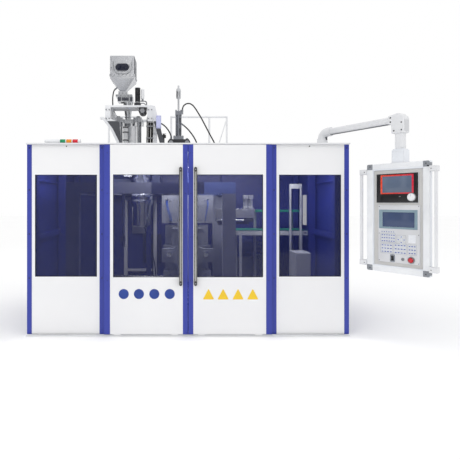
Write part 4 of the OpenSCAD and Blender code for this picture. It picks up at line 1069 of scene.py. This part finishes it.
WX, WY = math.cos(RAD(-52.3)), math.sin(RAD(-52.3))
HX, HY = 1.733 + 1.043 * math.cos(RAD(-59)), -0.739 + 1.043 * math.sin(RAD(-59))


def along_width(t, pos, a, b):
    """0 to 1 along the panel's width, between a and b in metres"""
    dn = nd(t, "ShaderNodeVectorMath", {0: pos}, operation="DOT_PRODUCT")
    dn.inputs[1].default_value = (WX, WY, 0)
    off = HX * WX + HY * WY
    n = nd(t, "ShaderNodeMapRange", {"Value": dn.outputs["Value"], "From Min": off + a, "From Max": off + b,
                                     "To Min": 0.0, "To Max": 1.0})
    return n.outputs["Result"]


def glow_material():
    """orange at the left, red at the right"""
    m, t, b = tree("display_border")
    pos = nd(t, "ShaderNodeTexCoord").outputs["Object"]
    f = along_width(t, pos, -0.17, 0.17)
    c = mixc(t, f, lin(226, 74, 44), lin(204, 26, 62))
    c2 = mixc(t, remap(t, noise(t, coords(t), 9.0, 3.0), 0, 0.22), c, lin(240, 60, 60))
    t.links.new(c2, b.inputs["Base Color"])
    t.links.new(remap(t, noise(t, coords(t), 30.0, 3.0), 0.22, 0.34), b.inputs["Roughness"])
    return m


def screen_material():
    m, t, b = tree("display_screen")
    pos = nd(t, "ShaderNodeTexCoord").outputs["Object"]
    x, y, z = sep(t, pos)
    g = nd(t, "ShaderNodeMapRange", {"Value": z, "From Min": 1.69, "From Max": 1.87, "To Min": 0.0, "To Max": 1.0})
    c = mixc(t, g.outputs["Result"], lin(84, 97, 118), lin(98, 112, 134))
    f = along_width(t, pos, -0.155, 0.151)
    c = mixc(t, math1(t, "MULTIPLY", f, 0.3), c, lin(74, 86, 108))
    c = mixc(t, remap(t, noise(t, coords(t), 6.0, 3.0), 0, 0.18), c, lin(116, 128, 148))
    t.links.new(c, b.inputs["Base Color"])
    t.links.new(remap(t, noise(t, coords(t), 20.0, 3.0), 0.10, 0.2), b.inputs["Roughness"])
    return m


# grey beige face of the recess, round both units
B = Build(PAN)
for x0, x1, z0, z1 in ((-247, -218, 912, 1937), (230, 259, 912, 1937), (-218, 230, 1899, 1937), (-218, 230, 1561, 1585),
                       (-218, 230, 912, 948), (217, 230, 1585, 1899), (-218, -199, 948, 1561)):
    B.box((x0, -74.9, z0), (x1, -73.4, z1), 0)
B.done("recess_face", surface("recess_grey_beige", lin(196, 195, 193), lin(186, 185, 183), rough=0.46, vary=0.07, big=2.4,
                              grain=0.14, gscale=420, gdist=0.0002), "panel", "panel_plastic")
fy_ = -88.0   # the housing's front face
# display: black bezel round the screen, coloured border, screen
B = Build(PAN)
B.box((-216, -88.4, 1587), (-174, -84, 1897), 1.2)
B.box((173, -88.4, 1587), (215, -84, 1897), 1.2)
B.box((-175, -88.4, 1887), (174, -84, 1897), 1.2)
B.box((-175, -88.4, 1587), (174, -84, 1680), 1.2)
B.frame_xz(-174, 173, 1680, 1887, 4, -89.4, -87.8, 0.6)
B.done("display_bezel", BLACKP, "panel", "black_plastic")
B = Build(PAN)
B.box((-174, -84.4, 1680), (-155, -81.6, 1887), 0.4)
B.box((151, -84.4, 1680), (173, -81.6, 1887), 0.4)
B.box((-155, -84.4, 1870), (151, -81.6, 1887), 0.4)
B.box((-155, -84.4, 1680), (151, -81.6, 1694), 0.4)
B.done("display_border", glow_material(), "panel", "panel_plastic")
B = Build(PAN)
B.box((-155, -83.2, 1694), (151, -81.6, 1870), 0.5)
B.done("display_screen", screen_material(), "panel", "panel_plastic")
# a small pale mark under the screen, ring round the knob
B = Build(PAN)
B.box((24, -89.1, 1648), (42, -88.2, 1657), 0.4)
B.lathe((151, -88.4, 1645), (0, -1, 0), [(38.6, -3), (45, -3), (45, 1.2), (43.5, 2.2), (39.6, 2.2), (38.6, 1)], 48)
B.done("knob_ring", COLLAR, "panel", "panel_plastic")
B = Build(PAN)
for k in range(24):
    an = RAD(15 * k)
    L = Matrix.Translation((151, 0, 1645)) @ Matrix.Rotation(an, 4, "Y")
    B.box((35.8, -101, -1.5), (38.6, -89, 1.5), 0.8, 1, local=L)
B.box((148.5, -109.2, 1652), (153.5, -108, 1674), 0.5)
B.done("knob_ribs", surface("knob_mark_grey", lin(186, 190, 196), lin(170, 174, 180), rough=0.4, big=20.0, grain=0.1,
                            gscale=400, gdist=0.0002), "selector_knob", "white_plastic")

# keyboard unit: silver plate round the second screen, teal frame, slate screen
B = Build(PAN)
B.box((-197, -83.6, 950), (228, -80, 1308), 1.0)
B.box((-197, -83.6, 1512), (228, -80, 1559), 1.0)
B.box((208, -83.6, 1307), (228, -80, 1513), 0.8)
B.box((-197, -83.6, 1307), (-190, -80, 1513), 0.8)
B.done("unit_plate", SILVER, "panel", "panel_plastic")
B = Build(PAN)
B.box((-190, -84.6, 1308), (-153, -80, 1512), 1.0)
B.box((178, -84.6, 1308), (208, -80, 1512), 1.0)
B.box((-154, -84.6, 1485), (179, -80, 1512), 1.0)
B.box((-154, -84.6, 1308), (179, -80, 1329), 1.0)
B.done("unit_frame", TEAL, "panel", "panel_plastic")
B = Build(PAN)
B.box((-153, -80.4, 1329), (178, -78.6, 1485), 0.4)
B.done("unit_screen", SLATE, "panel", "panel_plastic")
K, Mk = Build(PAN), Build(PAN)


def keys(x0, x1, nx_, rows, kh=22, mark=0.68):
    w = (x1 - x0) / nx_
    for z in rows:
        for i in range(nx_):
            a = x0 + w * i + 2
            b = x0 + w * (i + 1) - 2
            K.box((a, -85.4, z - kh / 2), (b, -83.4, z + kh / 2), 1.0, 2)
            Mk.box((a + 0.16 * (b - a), -85.7, z - 4.6), (a + (0.16 + mark) * (b - a), -85.3, z + 4.6), 0.1, 1)


keys(-166, -16, 6, (1240, 1209, 1176), 22)
keys(-166, -47, 4, (1130, 1096, 1061), 24)
keys(-26, 97, 4, (1137, 1098, 1059), 26)
keys(117, 195, 3, (1134, 1098, 1063), 25)
keys(-166, -16, 6, (1275,), 14, 0.4)
for dx, dz, r in ((0, 31, 0), (0, -31, 180), (31, 0, 90), (-31, 0, 270)):
    L = Matrix.Translation((46 + dx, 0, 1197 + dz)) @ Matrix.Rotation(RAD(r), 4, "Y")
    K.box((-13, -85.6, -13), (13, -83.4, 13), 2.0, 2, local=L)
    Mk.prism([(-8, -6), (8, -6), (0, 8)], "y", -85.9, -85.4, 0.1, 1, local=L)
K.box((36, -85.6, 1187), (56, -83.4, 1207), 2)
K.done("keys", KEYP, "panel", "panel_plastic")
Mk.done("key_marks", KEYB, "panel", "panel_plastic")
B = Build(PAN)
B.box((117, -85.0, 1170), (191, -83.4, 1252), 1.2)
for i in range(3):
    for j in range(4):
        B.box((121 + 23 * i, -86.4, 1174 + 19.4 * j), (141 + 23 * i, -84.8, 1189.5 + 19.4 * j), 1.2)
B.done("keypad", PADP, "panel", "panel_plastic")
# group outlines, rocker's frame, stop button's collar
B = Build(PAN)
for x0, x1, z0, z1 in ((-170, -12, 1162, 1254), (-170, -43, 1046, 1146), (-30, 101, 1043, 1153), (113, 199, 1047, 1150),
                       (2, 92, 1150, 1244)):
    B.frame_xz(x0, x1, z0, z1, 1.6, -84.4, -83.4, 0.2)
B.frame_xz(-60, -28, 963, 1027, 7, -90.4, -83.4, 1.2)
B.done("unit_outlines", surface("outline_grey", lin(132, 140, 152), lin(120, 128, 140), rough=0.45, big=9.0, grain=0.1,
                                gscale=400, gdist=0.0002), "panel", "panel_plastic")
B = Build(PAN)
B.lathe((148, -88, 992), (0, -1, 0), [(9, -4), (36, -4), (36, 0.6), (34, 2.4), (30, 3.2), (9, 3.2)], 48)
B.lathe((62, -83.4, 992), (0, -1, 0), [(0, 0), (17, 0), (17, 3), (15, 5), (11, 5), (10, 3), (0, 3)], 36)
B.done("stop_collar", COLLAR, "panel", "panel_plastic")
B = Build(PAN)
for k in range(28):
    an = RAD(360 / 28 * k)
    L = Matrix.Translation((148, 0, 992)) @ Matrix.Rotation(an, 4, "Y")
    B.box((24.6, -110, -1.1), (26.2, -103, 1.1), 0.5, 1, local=L)
B.done("stop_ribs", REDP, "stop_button", "red_plastic")

# housing: rounded corner caps, lighter head rail, seams, screws, top joint
B = Build(PAN)
for sx in (-1, 1):
    for z0, z1 in ((839, 901), (1950, 2010)):
        zc0, zc1 = (z0 - 0.6, z1) if z0 < 1000 else (z0, z1 + 0.6)
        # rounded towards the housing's outer corner
        o = [(sx * 262, zc0), (sx * 262, zc1)]
        if z0 < 1000:
            o = [(sx * 262, zc1), (sx * 325.2, zc1)] + [(sx * (307.2 + 18 * math.sin(RAD(q))), zc0 + 18 - 18 * math.cos(RAD(q)))
                                                      for q in range(90, -1, -15)] + [(sx * 262, zc0)]
        else:
            o = [(sx * 262, zc0), (sx * 325.2, zc0)] + [(sx * (307.2 + 18 * math.cos(RAD(q))), zc1 - 18 + 18 * math.sin(RAD(q)))
                                                      for q in range(0, 91, 15)] + [(sx * 262, zc1)]
        B.prism(o, "y", -90.4, -27.6, 3.0, 3)
B.done("corner_caps", CAPG, "panel", "panel_plastic")
B = Build(PAN)
B.box((-261.6, -90.0, 1956), (261.6, -82, 2009.4), 3, 3)
B.box((-261.6, -90.0, 840), (261.6, -82, 896), 3, 3)
for sx in (-1, 1):
    x0, x1 = sorted((sx * 325.4, sx * 264))
    B.box((x0, -90.0, 901.6), (x1, -82, 1949.4), 3, 3)
B.done("housing_rails", LIGHTP, "panel", "panel_plastic")
B = Build(PAN)
for sx in (-1, 1):
    for z in (866, 1984):
        B.screw((sx * 290, -90, z), (0, -1, 0), 6, 2)
    for z in (918, 1928):
        B.screw((sx * 345, -110, z), (0, -1, 0), 5, 2)
for x in (-205, 204):
    for z in (1600, 1886):
        B.screw((x, -88.4, z), (0, -1, 0), 4, 1.6)
for x in (-188, 219):
    for z in (962, 1255, 1548):
        B.screw((x, -83.6, z), (0, -1, 0), 4, 1.6)
B.box((300, -94, 1952), (318, -89, 1962), 1.5)
B.done("panel_screws", SCREWD, "panel", "machined_steel")
# back of the housing: door seam, two quarter-turn locks, ribs for cooling
B = Build(PAN)
B.frame_xz(-152, 152, 970, 1998, 3, 87.2, 88.8, 0.4)
for z in (1100, 1750):
    B.cyl((132, 86.5, z), (132, 89.0, z), 12, 1)
    B.box((129, 87.5, z - 9), (135, 90.0, z + 9), 0.8)
for i in range(9):
    B.box((-110, 87.0, 1180 + 22 * i), (60, 89.6, 1188 + 22 * i), 1.2)
for sx in (-1, 1):
    x0, x1 = sorted((sx * 300, sx * 190))
    B.frame_xz(x0, x1, 905, 1945, 3, -29.0, -27.0, 0.4)
B.done("housing_back", CAPG, "panel", "panel_plastic")
# swivel joint on top of the housing
B = Build(PAN)
B.box((-76, -64, 2009.6), (76, 64, 2017), 3)
B.frame_xz(-60, 60, 2026, 2132, 2, -59.2, -57.6, 0.3)
for x in (-71, 71):
    B.screw((x, -50, 2017), (0, 0, 1), 4, 2)
B.done("swivel_foot", WHITEP, "panel", "white_paint")

# ------------------------------------------------------------------ inside and clamp details

# bolts of the front platen, thin air lines clipped on it
AIRB = surface("air_line_blue", lin(46, 96, 200), lin(38, 84, 182), rough=0.35, vary=0.05, big=12.0, grain=0.1, gscale=400,
               gdist=0.0002, coat=0.2)


# stand with a valve plate and its cables along the rear wall, behind the carriage's travel
B = Build()
for x0, x1 in ((-1062, -1000), (-560, -500)):
    B.box((x0, 1000, 161), (x1, 1048, 1642), 4, 2)
B.box((-1057, 1004, 1642), (-505, 1044, 1690), 4, 2)
B.box((-1057, 1004, 420), (-505, 1044, 462), 4, 2)
B.done("valve_stand", WHITEP, slot="white_paint")
B = Build()
B.box((-924, 1014, 1060), (-600, 1026, 1520), 2)
for z in (1150, 1230, 1310, 1390):
    B.box((-896, 994, z), (-780, 1015, z + 50), 4, 2)
    B.cyl((-781, 1004, z + 25), (-730, 1004, z + 25), 10, 2)
B.done("valve_plate", ALU, slot="machined_steel")
B = Build()
B.box((-740, 1006, 560), (-420, 1044, 1050), 8, 3)
for n, z in enumerate((1175, 1255, 1335, 1415)):
    B.tube(catmull([(-728, 1004, z), (-700 + 12 * n, 1002, z - 30), (-672 + 16 * n, 998, z - 190),
                    (-650 + 22 * n, 996, 800), (-640 + 34 * n, 998, 540), (-700 + 60 * n, 1002, 300),
                    (-720 + 60 * n, 1004, 168)], 6), 8, 12)
B.done("valve_cables", BLACKP, slot="black_plastic")

B = Build()
PY = -650.0
for sx in (-1, 1):
    for x, z in ((229, 1610), (137, 1610), (255, 1532), (137, 1532), (230, 1352), (180, 1352), (130, 1352)):
        B.lathe((sx * x, PY + 21, z), (0, -1, 0), [(0, 0), (8.2, 0), (8.2, 15), (7, 17), (4.4, 17), (4.4, 9), (0, 9)], 20)
    for z in (1500, 1420):
        B.screw((sx * 70, PY, z), (0, -1, 0), 11, 6)
    for z in (1120, 1220, 670):
        B.screw((sx * 96, PY, z), (0, -1, 0), 9, 5)
for x in (-20, 20):
    for z in (880, 930):
        B.screw((x, PY, z), (0, -1, 0), 9, 5)
B.done("platen_bolts", SCREWD, "front_clamp", "machined_steel")
# thin blue air lines clipped along the platen
B = Build()
for x0, x1 in ((-276, -232), (-262, -214), (262, 236)):
    q = [(x0, PY - 6, 1628), (x0 + 4, PY - 14, 1560), ((x0 + x1) / 2, PY - 26, 1470), (x1, PY - 16, 1400), (x1, PY - 6, 1340)]
    B.tube(catmull(q, 5), 4.2, 10)
B.done("platen_air_lines", AIRB, "front_clamp", "rubber_black")
B = Build()
for x, z in ((-276, 1628), (-262, 1628), (262, 1628), (-232, 1340), (-214, 1340), (236, 1340)):
    B.box((x - 9, PY - 12, z - 9), (x + 9, PY, z + 9), 2.0)
B.done("air_line_clips", STEEL, "front_clamp", "machined_steel")

# strips: folded edges of the sheets beside the seams
B = Build()
for s in (-1, 1):
    for x in (1014, 1046, 1890):
        B.box((s * x - 1.6, -1101.6, 92), (s * x + 1.6, -1099.8, 2292), 0.7, 1)
B.done("fixed_strip_folds", STRIP, slot="blue_paint")
for side, s in (("left", -1), ("right", 1)):
    B = Build()
    for x in (20, 44, 944, 978):
        B.box((s * x - 1.6, -1143.6, 96), (s * x + 1.6, -1141.8, 2282), 0.7, 1)
    B.done(side + "_door_strip_folds", STRIP, side + "_door", "blue_paint")
    B = Build()
    for z in (660, 1180, 1700, 2180):
        for x in (32, 961):
            B.screw((s * x, -1142, z), (0, -1, 0), 6.5, 2.4)
    B.done(side + "_door_screws", SCREWD, side + "_door", "machined_steel")
